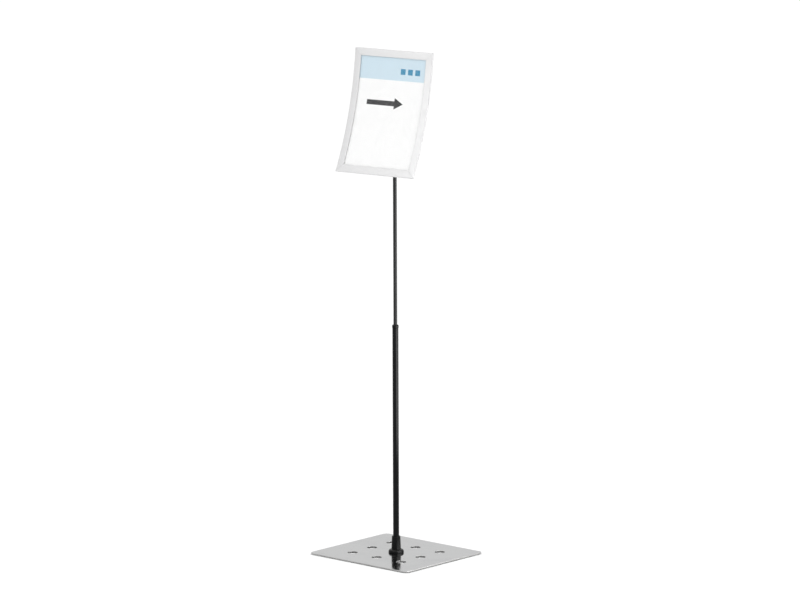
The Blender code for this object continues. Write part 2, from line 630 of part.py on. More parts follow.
polished_steel = material("polished_steel", (0.62, 0.63, 0.64), 0.12, 1.0)
zinc_steel = material("zinc_steel", (0.55, 0.56, 0.58), 0.35, 1.0)
black_rubber = material("black_rubber", (0.02, 0.02, 0.02), 0.80, 0.0)
black_moulding = material("black_moulding", (0.012, 0.012, 0.013), 0.30, 0.0)
gloss_black = material("gloss_black", (0.010, 0.011, 0.012), 0.15, 0.0)
satin_black = material("satin_black", (0.020, 0.021, 0.022), 0.40, 0.0)
white_nylon = material("white_nylon", (0.78, 0.78, 0.75), 0.45, 0.0)
silver_moulding = material("silver_moulding", (0.68, 0.68, 0.69), 0.40, 0.2)
clear_plastic = material("clear_plastic", (0.92, 0.94, 0.95), 0.15, 0.0)
white_paper = material("white_paper", (0.90, 0.91, 0.92), 0.70, 0.0)

make_foot()
make_socket()
make_lower_post()

height_axis = empty("height_axis", at=(0, 0, UPPER_BOTTOM))
mast_axis = empty("mast_axis", parent=height_axis, turn=(0, 0, HEAD_TURN))
pivot_axis = empty("pivot_axis", parent=mast_axis, at=PIVOT_LOCAL, turn=(-PANEL_LEAN, 0, 0))

make_tube("upper_tube", UPPER_DIA, UPPER_WALL, UPPER_LENGTH, satin_black, parent=mast_axis)
make_twist_lock(height_axis, mast_axis)
make_bracket(mast_axis)
panel_plate = make_pivot(mast_axis, pivot_axis)
make_panel(pivot_axis, panel_plate)
make_insert(pivot_axis)
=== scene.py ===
"""Looks of the floor sign stand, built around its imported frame. Metres, +Z up.

The sections follow the stand as it is put together: foot, post, head bracket, panel, sheet.
"""
import json
import math

import bmesh
import bpy
from mathutils import Matrix, Vector
from mathutils.geometry import delaunay_2d_cdt


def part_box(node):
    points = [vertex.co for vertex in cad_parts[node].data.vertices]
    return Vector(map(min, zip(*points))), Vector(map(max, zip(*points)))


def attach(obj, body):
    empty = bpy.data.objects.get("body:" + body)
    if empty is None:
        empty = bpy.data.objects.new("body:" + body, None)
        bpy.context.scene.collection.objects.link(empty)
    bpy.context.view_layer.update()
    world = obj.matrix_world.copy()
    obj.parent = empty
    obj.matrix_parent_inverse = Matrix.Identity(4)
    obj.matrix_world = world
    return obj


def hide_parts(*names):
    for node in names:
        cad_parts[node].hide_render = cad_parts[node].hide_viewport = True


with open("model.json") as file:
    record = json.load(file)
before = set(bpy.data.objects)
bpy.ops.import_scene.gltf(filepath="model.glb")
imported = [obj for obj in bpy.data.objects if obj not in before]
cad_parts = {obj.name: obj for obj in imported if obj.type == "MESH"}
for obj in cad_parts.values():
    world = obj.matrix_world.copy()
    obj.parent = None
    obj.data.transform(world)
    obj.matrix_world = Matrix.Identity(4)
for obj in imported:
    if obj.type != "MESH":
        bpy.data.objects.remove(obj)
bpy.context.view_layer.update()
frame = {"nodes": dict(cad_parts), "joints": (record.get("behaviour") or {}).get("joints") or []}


# ---- steel foot plate
# A rectangle of stainless sheet, laser cut with a ring of eight round holes around the post. Its top is
# polished to a mirror and its edges are only deburred, so they stay duller than the face.

plate_low, plate_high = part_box("base_plate")
PLATE_WIDTH = plate_high.x - plate_low.x
PLATE_DEPTH = plate_high.y - plate_low.y
PLATE_CORNER = 0.014
PLATE_ARRIS = 0.0004         # rounding of every cut edge
ARRIS_STEPS = 4
HOLE_RADIUS = 0.01325
HOLE_PITCH_X = 0.0855
HOLE_PITCH_Y = 0.077
BOLT_HOLE_RADIUS = 0.0033
SINK_RADIUS = 0.0058         # countersink on the underside
SINK_DEPTH = 0.0027
ROUND_STEPS = 96


def circle(radius, steps=ROUND_STEPS):
    """Points on a circle about the origin."""
    return [(radius * math.cos(2 * math.pi * i / steps), radius * math.sin(2 * math.pi * i / steps))
            for i in range(steps)]


def rounded_box(width, depth, corner, steps=16):
    """Outline of a rectangle with rounded corners."""
    outline = []
    x, y = width / 2 - corner, depth / 2 - corner
    for quarter, (sx, sy) in enumerate(((1, 1), (-1, 1), (-1, -1), (1, -1))):
        for i in range(steps + 1):
            angle = math.pi / 2 * (quarter + i / steps)
            outline.append((sx * x + corner * math.cos(angle), sy * y + corner * math.sin(angle)))
    return outline


def arc(centre, radius, start, end, steps=4):
    """Points on an arc, between two angles in degrees."""
    angles = [math.radians(start + (end - start) * i / steps) for i in range(steps + 1)]
    return [(centre[0] + radius * math.cos(a), centre[1] + radius * math.sin(a)) for a in angles]


def rim(outline, rows, centre=(0, 0), flip=1):
    """Rings of an edge: outline(inset) at each (inset, height), moved to a centre."""
    return [[(centre[0] + x, centre[1] + flip * y, height) for x, y in outline(inset)]
            for inset, height in rows]


def pierced_plate(rims):
    """Closed plate from its rims, the outside and then the holes; each rim lists rings from face to face."""
    bm = bmesh.new()
    faces = [[], []]
    for rings in rims:
        rows = [[bm.verts.new(point) for point in ring] for ring in rings]
        for upper, lower in zip(rows, rows[1:]):
            for i in range(len(upper)):
                j = (i + 1) % len(upper)
                bm.faces.new((upper[i], upper[j], lower[j], lower[i]))
        for loops, row in zip(faces, (rows[0], rows[-1])):
            loops += [bm.edges.get((row[i], row[i - 1])) for i in range(len(row))]
    for loops in faces:
        bmesh.ops.triangle_fill(bm, use_beauty=True, use_dissolve=False, edges=loops)
    return bm


def piece(name, bm, *finishes, place=None, sharp=35):
    """Put a mesh in the scene, smooth but for edges sharper than the given angle."""
    bmesh.ops.remove_doubles(bm, verts=bm.verts, dist=1e-7)
    bmesh.ops.recalc_face_normals(bm, faces=bm.faces)
    mesh = bpy.data.meshes.new(name)
    bm.to_mesh(mesh)
    bm.free()
    mesh.shade_smooth()
    mesh.set_sharp_from_angle(angle=math.radians(sharp))
    for finish in finishes:
        mesh.materials.append(finish)
    made = bpy.data.objects.new(name, mesh)
    bpy.context.scene.collection.objects.link(made)
    if place is not None:
        made.matrix_world = place
    return made


def flat_faces(made):
    """Let broad flat faces rule the shading of the small roundings beside them."""
    modifier = made.modifiers.new("flat_faces", "WEIGHTED_NORMAL")
    modifier.keep_sharp = True


def node(tree, kind, inputs=None, **settings):
    """Add a shader node; an input is a value, or another node's output to link."""
    made = tree.nodes.new(kind)
    for name, value in settings.items():
        setattr(made, name, value)
    for name, value in (inputs or {}).items():
        if isinstance(value, bpy.types.NodeSocket):
            tree.links.new(value, made.inputs[name])
        else:
            made.inputs[name].default_value = value
    return made


def new_finish(name, values):
    """Material whose plain values sit on its Principled shader's own sockets."""
    finish = bpy.data.materials.new(name)
    finish.use_nodes = True
    shader = finish.node_tree.nodes["Principled BSDF"]
    for socket, value in values.items():
        shader.inputs[socket].default_value = value
    return finish, finish.node_tree, shader


def new_effect(name, inputs, outputs):
    """Empty node group with its named sockets; every input is a number."""
    tree = bpy.data.node_groups.new(name, "ShaderNodeTree")
    for label, value in inputs.items():
        tree.interface.new_socket(label, in_out="INPUT", socket_type="NodeSocketFloat").default_value = value
    for label in outputs:
        tree.interface.new_socket(label, in_out="OUTPUT", socket_type="NodeSocketFloat")
    return tree, node(tree, "NodeGroupInput").outputs, node(tree, "NodeGroupOutput").inputs


def feed(shader, sources):
    """Link what varies over the surface to the shader's sockets."""
    for socket, source in sources.items():
        shader.id_data.links.new(source, shader.inputs[socket])


def use_effect(tree, effect, values):
    """Place an effect in a material with its own values, and give its outputs."""
    made = node(tree, "ShaderNodeGroup", node_tree=effect)
    for name, value in values.items():
        made.inputs[name].default_value = value
    return made.outputs


def remap(tree, value, start, end, low=0.0, high=1.0):
    """Turn a value that runs from start to end into one from low to high."""
    made = node(tree, "ShaderNodeMapRange", {"Value": value, "From Min": start, "From Max": end,
                                             "To Min": low, "To Max": high})
    return made.outputs["Result"]


def between(tree, mask, low, high):
    """Turn a mask from 0 to 1 into a value from low to high."""
    return remap(tree, mask, 0.0, 1.0, low, high)


def combine(tree, operation, first, second):
    """Put two numbers together by a named sum."""
    return node(tree, "ShaderNodeMath", {0: first, 1: second}, operation=operation).outputs["Value"]


def position(tree):
    """Where a point lies on its piece, in metres."""
    return node(tree, "ShaderNodeTexCoord").outputs["Object"]


def noise(tree, vector, scale, detail=2.0, roughness=0.5, distortion=0.0):
    """Soft noise around one half."""
    made = node(tree, "ShaderNodeTexNoise", {"Vector": vector, "Scale": scale, "Detail": detail,
                                             "Roughness": roughness, "Distortion": distortion})
    return made.outputs["Fac"]


def tint(tree, mask, first, second):
    """Mix two colours by a mask; the first may be another mix."""
    under = first if isinstance(first, bpy.types.NodeSocket) else (*first, 1)
    return node(tree, "ShaderNodeMix", {0: mask, 6: under, 7: (*second, 1)}, data_type="RGBA").outputs[2]


def relief(tree, height, depth, normal=None):
    """Bump of a depth in metres, on top of another one if given."""
    inputs = {"Height": height, "Distance": depth, "Strength": 1.0}
    if normal is not None:
        inputs["Normal"] = normal
    return node(tree, "ShaderNodeBump", inputs).outputs["Normal"]


# Worn or polished edges: where a rounded normal leaves the true one, broken up by noise.
edge_wear, given, result = new_effect("edge_wear", {"Width": 0.0005, "Amount": 1.0}, ["Mask"])
rounded = node(edge_wear, "ShaderNodeBevel", {"Radius": given["Width"]}, samples=4)
facing = node(edge_wear, "ShaderNodeNewGeometry")
normals = {0: rounded.outputs["Normal"], 1: facing.outputs["Normal"]}
agreement = node(edge_wear, "ShaderNodeVectorMath", normals, operation="DOT_PRODUCT")
bent = remap(edge_wear, agreement.outputs["Value"], 0.98, 0.80)
patches = remap(edge_wear, noise(edge_wear, position(edge_wear), 260.0, 3.0, 0.6), 0.42, 0.62)
worn = combine(edge_wear, "MULTIPLY", bent, patches)
edge_wear.links.new(combine(edge_wear, "MULTIPLY", worn, given["Amount"]), result["Mask"])

# Fine unevenness of a coated, moulded or cast skin: noise of a grain size given in metres.
skin_grain, given, result = new_effect("skin_grain", {"Grain": 0.001, "Detail": 2.0}, ["Height"])
scale = combine(skin_grain, "DIVIDE", 1.0, given["Grain"])
skin_grain.links.new(noise(skin_grain, position(skin_grain), scale, given["Detail"]), result["Height"])

# Marks of handling and wiping: broad smears and thin hair scratches.
handling, given, result = new_effect("handling_marks", {"Smear Size": 0.05, "Hair Size": 0.012},
                                     ["Smear", "Hair"])
spot = position(handling)
smear_scale = combine(handling, "DIVIDE", 1.0, given["Smear Size"])
smear = noise(handling, spot, smear_scale, 4.0, 0.62, 0.8)
handling.links.new(remap(handling, smear, 0.45, 0.72), result["Smear"])
hair_scale = combine(handling, "DIVIDE", 1.0, given["Hair Size"])
sway = node(handling, "ShaderNodeTexNoise", {"Vector": spot, "Scale": 30.0})
swayed = node(handling, "ShaderNodeVectorMath", {0: sway.outputs["Color"], 1: (0.02, 0.02, 0.02), 2: spot},
              operation="MULTIPLY_ADD")
hairs = node(handling, "ShaderNodeTexVoronoi", {"Vector": swayed.outputs["Vector"], "Scale": hair_scale},
             feature="DISTANCE_TO_EDGE")
handling.links.new(remap(handling, hairs.outputs["Distance"], 0.012, 0.0), result["Hair"])

# Dust settled on faces that look upwards.
settled_dust, given, result = new_effect("settled_dust", {"Amount": 1.0}, ["Mask"])
facing = node(settled_dust, "ShaderNodeNewGeometry")
split = node(settled_dust, "ShaderNodeSeparateXYZ", {"Vector": facing.outputs["Normal"]})
upward = remap(settled_dust, split.outputs["Z"], 0.35, 0.95)
specks = remap(settled_dust, noise(settled_dust, position(settled_dust), 420.0, 5.0, 0.7), 0.42, 0.75)
dusty = combine(settled_dust, "MULTIPLY", upward, specks)
settled_dust.links.new(combine(settled_dust, "MULTIPLY", dusty, given["Amount"]), result["Mask"])

# Lines that a tool leaves, drawn out along one axis: small scale along it, large across.
tool_lines, given, result = new_effect("tool_lines", {"Along X": 1.0, "Along Y": 1.0, "Along Z": 1.0},
                                       ["Height"])
stretch = node(tool_lines, "ShaderNodeCombineXYZ", {axis: given[f"Along {axis}"] for axis in "XYZ"})
drawn = node(tool_lines, "ShaderNodeVectorMath", {0: position(tool_lines), 1: stretch.outputs["Vector"]},
             operation="MULTIPLY")
tool_lines.links.new(noise(tool_lines, drawn.outputs["Vector"], 1.0, 4.0, 0.65), result["Height"])

# Polished face: near mirror, with a slow waviness of the sheet, wiped smears and hair scratches.
mirror_steel, tree, shader = new_finish("mirror_steel", {"Metallic": 1.0})
marks = use_effect(tree, handling, {"Smear Size": 0.09, "Hair Size": 0.016})
polish = use_effect(tree, tool_lines, {"Along X": 25.0, "Along Y": 1400.0, "Along Z": 25.0})
waves = use_effect(tree, skin_grain, {"Grain": 0.06, "Detail": 0.0})
soft = combine(tree, "ADD", marks["Smear"], between(tree, marks["Hair"], 0.0, 0.4))
wavy = relief(tree, waves["Height"], 0.00012)
feed(shader, {"Base Color": tint(tree, marks["Smear"], (0.51, 0.515, 0.515), (0.47, 0.475, 0.48)),
              "Roughness": between(tree, soft, 0.09, 0.19),
              "Normal": relief(tree, polish["Height"], 0.0000006, wavy)})

# Cut edge: upright striations of the laser and a duller, oxidised tone.
cut_steel, tree, shader = new_finish("cut_steel", {"Metallic": 1.0})
ridges = use_effect(tree, tool_lines, {"Along X": 2600.0, "Along Y": 2600.0, "Along Z": 120.0})
feed(shader, {"Base Color": tint(tree, ridges["Height"], (0.36, 0.355, 0.35), (0.50, 0.50, 0.50)),
              "Roughness": between(tree, ridges["Height"], 0.30, 0.48),
              "Normal": relief(tree, ridges["Height"], 0.00003)})

# Walls of the holes: the same cut steel with painted shade. Their tone is much darker than the outer cut
# edge, so the holes read as dark as shade inside them would make them.
hole_steel_painted_shade, tree, shader = new_finish("hole_steel_painted_shade", {"Metallic": 1.0})
ridges = use_effect(tree, tool_lines, {"Along X": 2600.0, "Along Y": 2600.0, "Along Z": 120.0})
feed(shader, {"Base Color": tint(tree, ridges["Height"], (0.13, 0.128, 0.125), (0.20, 0.20, 0.20)),
              "Roughness": between(tree, ridges["Height"], 0.35, 0.5)})

top, bottom = plate_high.z, plate_low.z
rounding = [(PLATE_ARRIS * (1 - math.sin(a)), PLATE_ARRIS * (1 - math.cos(a)))
            for a in (math.pi / 2 * i / ARRIS_STEPS for i in range(ARRIS_STEPS + 1))]
edge_rows = ([(inset, top - drop) for inset, drop in rounding]
             + [(inset, bottom + drop) for inset, drop in reversed(rounding)])
rims = [rim(lambda inset: rounded_box(PLATE_WIDTH - 2 * inset, PLATE_DEPTH - 2 * inset, PLATE_CORNER - inset),
            edge_rows)]
for column in (-1, 0, 1):
    for row in (-1, 0, 1):
        if (column, row) != (0, 0):
            rims.append(rim(lambda inset: circle(HOLE_RADIUS + inset), edge_rows,
                            (column * HOLE_PITCH_X, row * HOLE_PITCH_Y)))
bolt_rows = [(BOLT_HOLE_RADIUS + inset, top - drop) for inset, drop in rounding]
bolt_rows += [(BOLT_HOLE_RADIUS, bottom + SINK_DEPTH), (SINK_RADIUS, bottom)]
rims.append(rim(circle, bolt_rows))
foot_plate = piece("steel_foot_plate", pierced_plate(rims), mirror_steel, cut_steel, hole_steel_painted_shade)
# Walls inside the outline, the holes' walls, take the darker steel with painted shade; the outer edge takes
# the plain cut steel.
for face in foot_plate.data.polygons:
    if abs(face.normal.z) < 0.5:
        inside = (abs(face.center.x) < PLATE_WIDTH / 2 - PLATE_CORNER
                  and abs(face.center.y) < PLATE_DEPTH / 2 - PLATE_CORNER)
        face.material_index = 2 if inside else 1
flat_faces(foot_plate)
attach(foot_plate, "base")
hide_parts("base_plate")


# ---- rubber pads
# Four round self-adhesive rubber pads near the corners of the plate. Each has a rounded lower edge and
# a shallow dimple, so that it grips the floor with a ring.

PAD_EDGE = 0.0004
PAD_DIMPLE_RADIUS = 0.006
PAD_DIMPLE_DEPTH = 0.0003
SMALL_STEPS = 48             # sides of pads, bolts and their holes


def turned(profile, steps=ROUND_STEPS):
    """Solid of revolution about Z from a loop of (radius, height); it may start and end on the axis."""
    bm = bmesh.new()
    ring = [bm.verts.new((radius, 0, height)) for radius, height in profile]
    edges = [bm.edges.new(pair) for pair in zip(ring, ring[1:])]
    if profile[0][0] > 0:
        edges.append(bm.edges.new((ring[-1], ring[0])))
    bmesh.ops.spin(bm, geom=ring + edges, cent=(0, 0, 0), axis=(0, 0, 1), dvec=(0, 0, 0),
                   angle=2 * math.pi, steps=steps, use_merge=True)
    return bm


black_rubber, tree, shader = new_finish("black_rubber", {"IOR": 1.48, "Specular IOR Level": 0.35})
grain = use_effect(tree, skin_grain, {"Grain": 0.0004, "Detail": 3.0})
grime = use_effect(tree, handling, {"Smear Size": 0.006, "Hair Size": 0.004})
feed(shader, {"Base Color": tint(tree, grime["Smear"], (0.018, 0.018, 0.018), (0.045, 0.043, 0.040)),
              "Roughness": between(tree, grain["Height"], 0.62, 0.9),
              "Normal": relief(tree, grain["Height"], 0.00003)})

for number in range(1, 5):
    low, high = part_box(f"foot_pad_{number}")
    radius = (high.x - low.x) / 2
    thick = high.z - low.z
    profile = [(0, thick), (radius, thick), (radius, PAD_EDGE)]
    profile += arc((radius - PAD_EDGE, PAD_EDGE), PAD_EDGE, 0, -90)[1:]
    profile += [(PAD_DIMPLE_RADIUS, 0), (PAD_DIMPLE_RADIUS - PAD_DIMPLE_DEPTH, PAD_DIMPLE_DEPTH),
                (0, PAD_DIMPLE_DEPTH)]
    centre = (low + high) / 2
    pad = piece(f"rubber_pad_{number}", turned(profile, SMALL_STEPS), black_rubber,
                place=Matrix.Translation((centre.x, centre.y, low.z)))
    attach(pad, "base")
    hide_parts(f"foot_pad_{number}")


# ---- foot bolt
# A countersunk M6 socket screw, zinc plated, that comes up through the plate and the socket into the
# plug of the lower tube and clamps the three together.

BOLT_RADIUS = 0.003
BOLT_HEAD_RADIUS = 0.0055
BOLT_HEAD_HEIGHT = 0.0026
BOLT_PITCH = 0.001
BOLT_THREAD_DEPTH = 0.0005
BOLT_HEAD_EDGE = 0.0002      # upright rim of a countersunk head
CHAMFER = 0.0004
THREAD_ROWS = 8              # rows of points in one pitch
KEY_FLATS = 0.004
KEY_DEPTH = 0.0018


def threaded(bm, radius, low, high, pitch, depth):
    """Press a helical groove into the rows of a turned shank, fading out at both ends."""
    for vert in bm.verts:
        reach = math.hypot(vert.co.x, vert.co.y)
        if low < vert.co.z < high and abs(reach - radius) < radius / 100:
            turns = math.atan2(vert.co.y, vert.co.x) / (2 * math.pi)
            groove = 1 - abs(((vert.co.z / pitch - turns) % 1) * 2 - 1)
            fade = min(1, (vert.co.z - low) / pitch, (high - vert.co.z) / pitch)
            share = 1 - depth * groove * fade / radius
            vert.co.x *= share
            vert.co.y *= share
    return bm


def countersunk(start, head_height, low, end):
    """Screw standing on its countersunk head, threaded from a height to its chamfered end."""
    high = end - CHAMFER
    count = math.ceil((high - low) / BOLT_PITCH * THREAD_ROWS)
    profile = [(0, start), (BOLT_HEAD_RADIUS - BOLT_HEAD_EDGE, start),
               (BOLT_HEAD_RADIUS, start + BOLT_HEAD_EDGE), (BOLT_RADIUS, start + head_height)]
    profile += [(BOLT_RADIUS, low + (high - low) * i / count) for i in range(count + 1)]
    profile += [(BOLT_RADIUS - CHAMFER, end), (0, end)]
    return threaded(turned(profile, SMALL_STEPS), BOLT_RADIUS, low, high, BOLT_PITCH, BOLT_THREAD_DEPTH)


def prism(outline, low, high):
    """Solid between two heights."""
    bm = bmesh.new()
    rows = [[bm.verts.new((x, y, height)) for x, y in outline] for height in (low, high)]
    bm.faces.new(rows[0])
    bm.faces.new(rows[1])
    for i in range(len(outline)):
        j = (i + 1) % len(outline)
        bm.faces.new((rows[0][i], rows[0][j], rows[1][j], rows[1][i]))
    return bm


def carve(made, bm, operation="DIFFERENCE", place=None):
    """Cut, join or trim a piece with another solid, for good."""
    tool = piece("tool", bm, place=place)
    modifier = made.modifiers.new("carve", "BOOLEAN")
    modifier.operation = operation
    modifier.object = tool
    settle(made)
    mesh = tool.data
    bpy.data.objects.remove(tool)
    bpy.data.meshes.remove(mesh)


def settle(made, sharp=35):
    """Make what a piece's modifiers do to it permanent."""
    seen = made.evaluated_get(bpy.context.evaluated_depsgraph_get())
    mesh = bpy.data.meshes.new_from_object(seen)
    made.modifiers.clear()
    old = made.data
    made.data = mesh
    mesh.name = old.name
    bpy.data.meshes.remove(old)
    mesh.shade_smooth()
    mesh.set_sharp_from_angle(angle=math.radians(sharp))


zinc_plate, tree, shader = new_finish("zinc_plate", {"Metallic": 1.0})
turning = use_effect(tree, tool_lines, {"Along X": 200.0, "Along Y": 200.0, "Along Z": 3000.0})
marks = use_effect(tree, handling, {"Smear Size": 0.008, "Hair Size": 0.004})
wear = use_effect(tree, edge_wear, {"Width": 0.0002, "Amount": 0.8})
clouded = tint(tree, marks["Smear"], (0.56, 0.57, 0.58), (0.47, 0.49, 0.52))
feed(shader, {"Base Color": tint(tree, wear["Mask"], clouded, (0.74, 0.74, 0.74)),
              "Roughness": between(tree, turning["Height"], 0.24, 0.42),
              "Normal": relief(tree, turning["Height"], 0.000006)})

low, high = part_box("base_bolt")
in_foot = Matrix.Translation((0, 0, low.z))
screw = countersunk(0, BOLT_HEAD_HEIGHT, BOLT_HEAD_HEIGHT + CHAMFER, high.z - low.z)
foot_bolt = piece("foot_bolt", screw, zinc_plate, place=in_foot)
carve(foot_bolt, prism(circle(KEY_FLATS / math.sqrt(3), 6), -KEY_DEPTH, KEY_DEPTH), place=in_foot)
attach(foot_bolt, "base")
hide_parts("base_bolt")


# ---- bell socket
# A black injection moulding shaped like a small bell. Its flange stands on the plate and its tapered
# neck holds the lower tube upright; a soft fillet leads from the one into the other.

low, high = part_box("base_socket")
SOCKET_HEIGHT = high.z - low.z
SOCKET_FLANGE = (high.x - low.x) / 2
SOCKET_BORE = 0.0083
SOCKET_FLOOR = 0.005
SOCKET_MOUTH = 0.0114
SOCKET_FOOT = 0.0125
SOCKET_RIM = 0.003
SOCKET_DOME = 0.009
SOCKET_LIP = 0.0010
SOCKET_EDGE = 0.0005
SOCKET_NECK_RISE = 0.002     # lower end of the neck, above the dome's top

moulded_black, tree, shader = new_finish("moulded_black", {"IOR": 1.45, "Specular IOR Level": 0.12})
grain = use_effect(tree, skin_grain, {"Grain": 0.0005, "Detail": 4.0})
marks = use_effect(tree, handling, {"Smear Size": 0.02, "Hair Size": 0.007})
wear = use_effect(tree, edge_wear, {"Width": 0.0004, "Amount": 0.6})
dust = use_effect(tree, settled_dust, {"Amount": 0.25})
tone = tint(tree, wear["Mask"], (0.003, 0.0033, 0.0036), (0.025, 0.026, 0.028))
feed(shader, {"Base Color": tint(tree, dust["Mask"], tone, (0.16, 0.155, 0.15)),
              "Roughness": between(tree, marks["Smear"], 0.20, 0.34),
              "Normal": relief(tree, grain["Height"], 0.000012)})

mouth = arc((SOCKET_MOUTH - SOCKET_LIP, SOCKET_HEIGHT - SOCKET_LIP), SOCKET_LIP, 90, 0, 6)
dome = [(SOCKET_FOOT + (SOCKET_FLANGE - SOCKET_FOOT) * math.sin(a),
         SOCKET_RIM + (SOCKET_DOME - SOCKET_RIM) * math.cos(a))
        for a in (math.radians(90 * i / 16) for i in range(17))]
neck = [(SOCKET_MOUTH + (SOCKET_FOOT - SOCKET_MOUTH) * t,
         SOCKET_HEIGHT - SOCKET_LIP + (SOCKET_DOME + SOCKET_NECK_RISE - SOCKET_HEIGHT + SOCKET_LIP) * t)
        for t in (i / 8 for i in range(1, 9))]
foot_edge = arc((SOCKET_FLANGE - SOCKET_EDGE, SOCKET_EDGE), SOCKET_EDGE, 0, -90)
inside = [(BOLT_HOLE_RADIUS, 0), (BOLT_HOLE_RADIUS, SOCKET_FLOOR), (SOCKET_BORE, SOCKET_FLOOR),
          (SOCKET_BORE, SOCKET_HEIGHT - CHAMFER), (SOCKET_BORE + CHAMFER, SOCKET_HEIGHT)]
bell = piece("bell_socket", turned(mouth + neck + dome + foot_edge + inside), moulded_black,
             place=Matrix.Translation((0, 0, low.z)))
flat_faces(bell)
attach(bell, "base")
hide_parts("base_socket")


# ---- lower tube and its plug
# Drawn steel tube with a gloss powder coat, whose thick skin flows into a faint orange peel. A zinc
# plated threaded plug is pressed into its foot, out of sight.

low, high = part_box("lower_tube")
LOWER_RADIUS = (high.x - low.x) / 2
LOWER_WALL = 0.0012
TUBE_EDGE = 0.0003


def refinish(name, finish):
    """Give a CAD node that stays in sight a finish."""
    materials = frame["nodes"][name].data.materials
    materials.clear()
    materials.append(finish)


def drawn_tube(radius, wall, length):
    """Tube with its cut ends deburred."""
    inner = radius - wall
    outside = arc((radius - TUBE_EDGE, length - TUBE_EDGE), TUBE_EDGE, 90, 0)
    outside += arc((radius - TUBE_EDGE, TUBE_EDGE), TUBE_EDGE, 0, -90)
    return turned([(inner, length)] + outside + [(inner, 0)])


gloss_coat, tree, shader = new_finish("gloss_coat", {"IOR": 1.45, "Specular IOR Level": 0.14})
peel = use_effect(tree, skin_grain, {"Grain": 0.0016, "Detail": 1.5})
marks = use_effect(tree, handling, {"Smear Size": 0.03, "Hair Size": 0.01})
wear = use_effect(tree, edge_wear, {"Width": 0.0003, "Amount": 0.5})
tone = tint(tree, marks["Smear"], (0.0020, 0.0024, 0.0028), (0.0045, 0.005, 0.006))
feed(shader, {"Base Color": tint(tree, wear["Mask"], tone, (0.06, 0.06, 0.06)),
              "Roughness": between(tree, marks["Smear"], 0.14, 0.26),
              "Normal": relief(tree, peel["Height"], 0.00003)})

lower_post = piece("lower_post_tube", drawn_tube(LOWER_RADIUS, LOWER_WALL, high.z - low.z), gloss_coat,
                   place=Matrix.Translation((0, 0, low.z)))
flat_faces(lower_post)
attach(lower_post, "base")
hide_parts("lower_tube")

for name in ("lower_plug", "lock_cone", "set_screw"):
    refinish(name, zinc_plate)


# ---- collar
# Black moulded ring pressed into the lower tube's mouth. It guides the upper tube, and its rounded
# shoulder stands a little wider than the tube.

low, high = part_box("top_collar")
COLLAR_RADIUS = (high.x - low.x) / 2
COLLAR_BORE = 0.0053
CLEAR = 0.0003               # left between two pieces that touch
COLLAR_HEIGHT = high.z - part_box("lower_tube")[1].z - CLEAR
COLLAR_SPIGOT = high.z - low.z - COLLAR_HEIGHT
COLLAR_SPIGOT_RADIUS = 0.0065
COLLAR_ROUND = 0.0030

shoulder = arc((COLLAR_RADIUS - COLLAR_ROUND, COLLAR_HEIGHT - COLLAR_ROUND), COLLAR_ROUND, 90, 0, 10)
under = [(COLLAR_RADIUS, TUBE_EDGE), (COLLAR_RADIUS - TUBE_EDGE, 0), (COLLAR_SPIGOT_RADIUS, 0),
         (COLLAR_SPIGOT_RADIUS, -COLLAR_SPIGOT), (COLLAR_BORE, -COLLAR_SPIGOT)]
throat = [(COLLAR_BORE, COLLAR_HEIGHT - CHAMFER), (COLLAR_BORE + CHAMFER, COLLAR_HEIGHT)]
collar = piece("post_collar", turned(throat + shoulder + under), moulded_black,
               place=Matrix.Translation((0, 0, high.z - COLLAR_HEIGHT)))
flat_faces(collar)
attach(collar, "base")
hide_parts("top_collar")


# ---- twist lock
# Inside the lower tube a nylon plug carries the upper tube on a coarse screw. Turning the tube draws a
# zinc plated cone into a split nylon sleeve, which spreads and grips.

natural_nylon, tree, shader = new_finish("natural_nylon", {"IOR": 1.53, "Subsurface Weight": 0.15,
                                                           "Subsurface Radius": (0.002, 0.0015, 0.001)})
grain = use_effect(tree, skin_grain, {"Grain": 0.0006, "Detail": 3.0})
marks = use_effect(tree, handling, {"Smear Size": 0.01, "Hair Size": 0.005})
feed(shader, {"Base Color": tint(tree, marks["Smear"], (0.76, 0.75, 0.70), (0.66, 0.64, 0.57)),
              "Roughness": between(tree, grain["Height"], 0.34, 0.5),
              "Normal": relief(tree, grain["Height"], 0.00001)})
for name in ("lock_spindle", "lock_sleeve"):
    refinish(name, natural_nylon)


# ---- upper tube
# Thinner drawn tube with a satin powder coat. It slides in the lower one, so long fine rub lines run
# down it.

joints = {joint["name"]: joint for joint in frame["joints"]}
across = Vector(joints["insert_slide"]["axis"])
head_turn = math.atan2(across.y, across.x)
low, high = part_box("upper_tube")
MAST = Matrix.Translation((0, 0, low.z)) @ Matrix.Rotation(head_turn, 4, "Z")
UPPER_RADIUS = (high.x - low.x) / 2
UPPER_WALL = 0.001
UPPER_LENGTH = high.z - low.z

satin_coat, tree, shader = new_finish("satin_coat", {"IOR": 1.45, "Specular IOR Level": 0.16})
peel = use_effect(tree, skin_grain, {"Grain": 0.0006, "Detail": 3.0})
rubs = use_effect(tree, tool_lines, {"Along X": 900.0, "Along Y": 900.0, "Along Z": 6.0})
wear = use_effect(tree, edge_wear, {"Width": 0.0004, "Amount": 0.7})
dust = use_effect(tree, settled_dust, {"Amount": 0.2})
tone = tint(tree, rubs["Height"], (0.012, 0.0125, 0.013), (0.024, 0.0245, 0.025))
rubbed = tint(tree, wear["Mask"], tone, (0.09, 0.09, 0.09))
feed(shader, {"Base Color": tint(tree, dust["Mask"], rubbed, (0.16, 0.155, 0.15)),
              "Roughness": between(tree, rubs["Height"], 0.30, 0.46),
              "Normal": relief(tree, peel["Height"], 0.000015)})

upper_post = piece("upper_post_tube", drawn_tube(UPPER_RADIUS, UPPER_WALL, UPPER_LENGTH), satin_coat,
                   place=MAST)
flat_faces(upper_post)
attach(upper_post, "mast")
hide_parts("upper_tube")


# ---- head bracket
# One die casting: a sleeve over the top of the upper tube, a short arm, and the round disc that the
# panel turns on. The casting has soft fillets; the bores are machined afterwards.

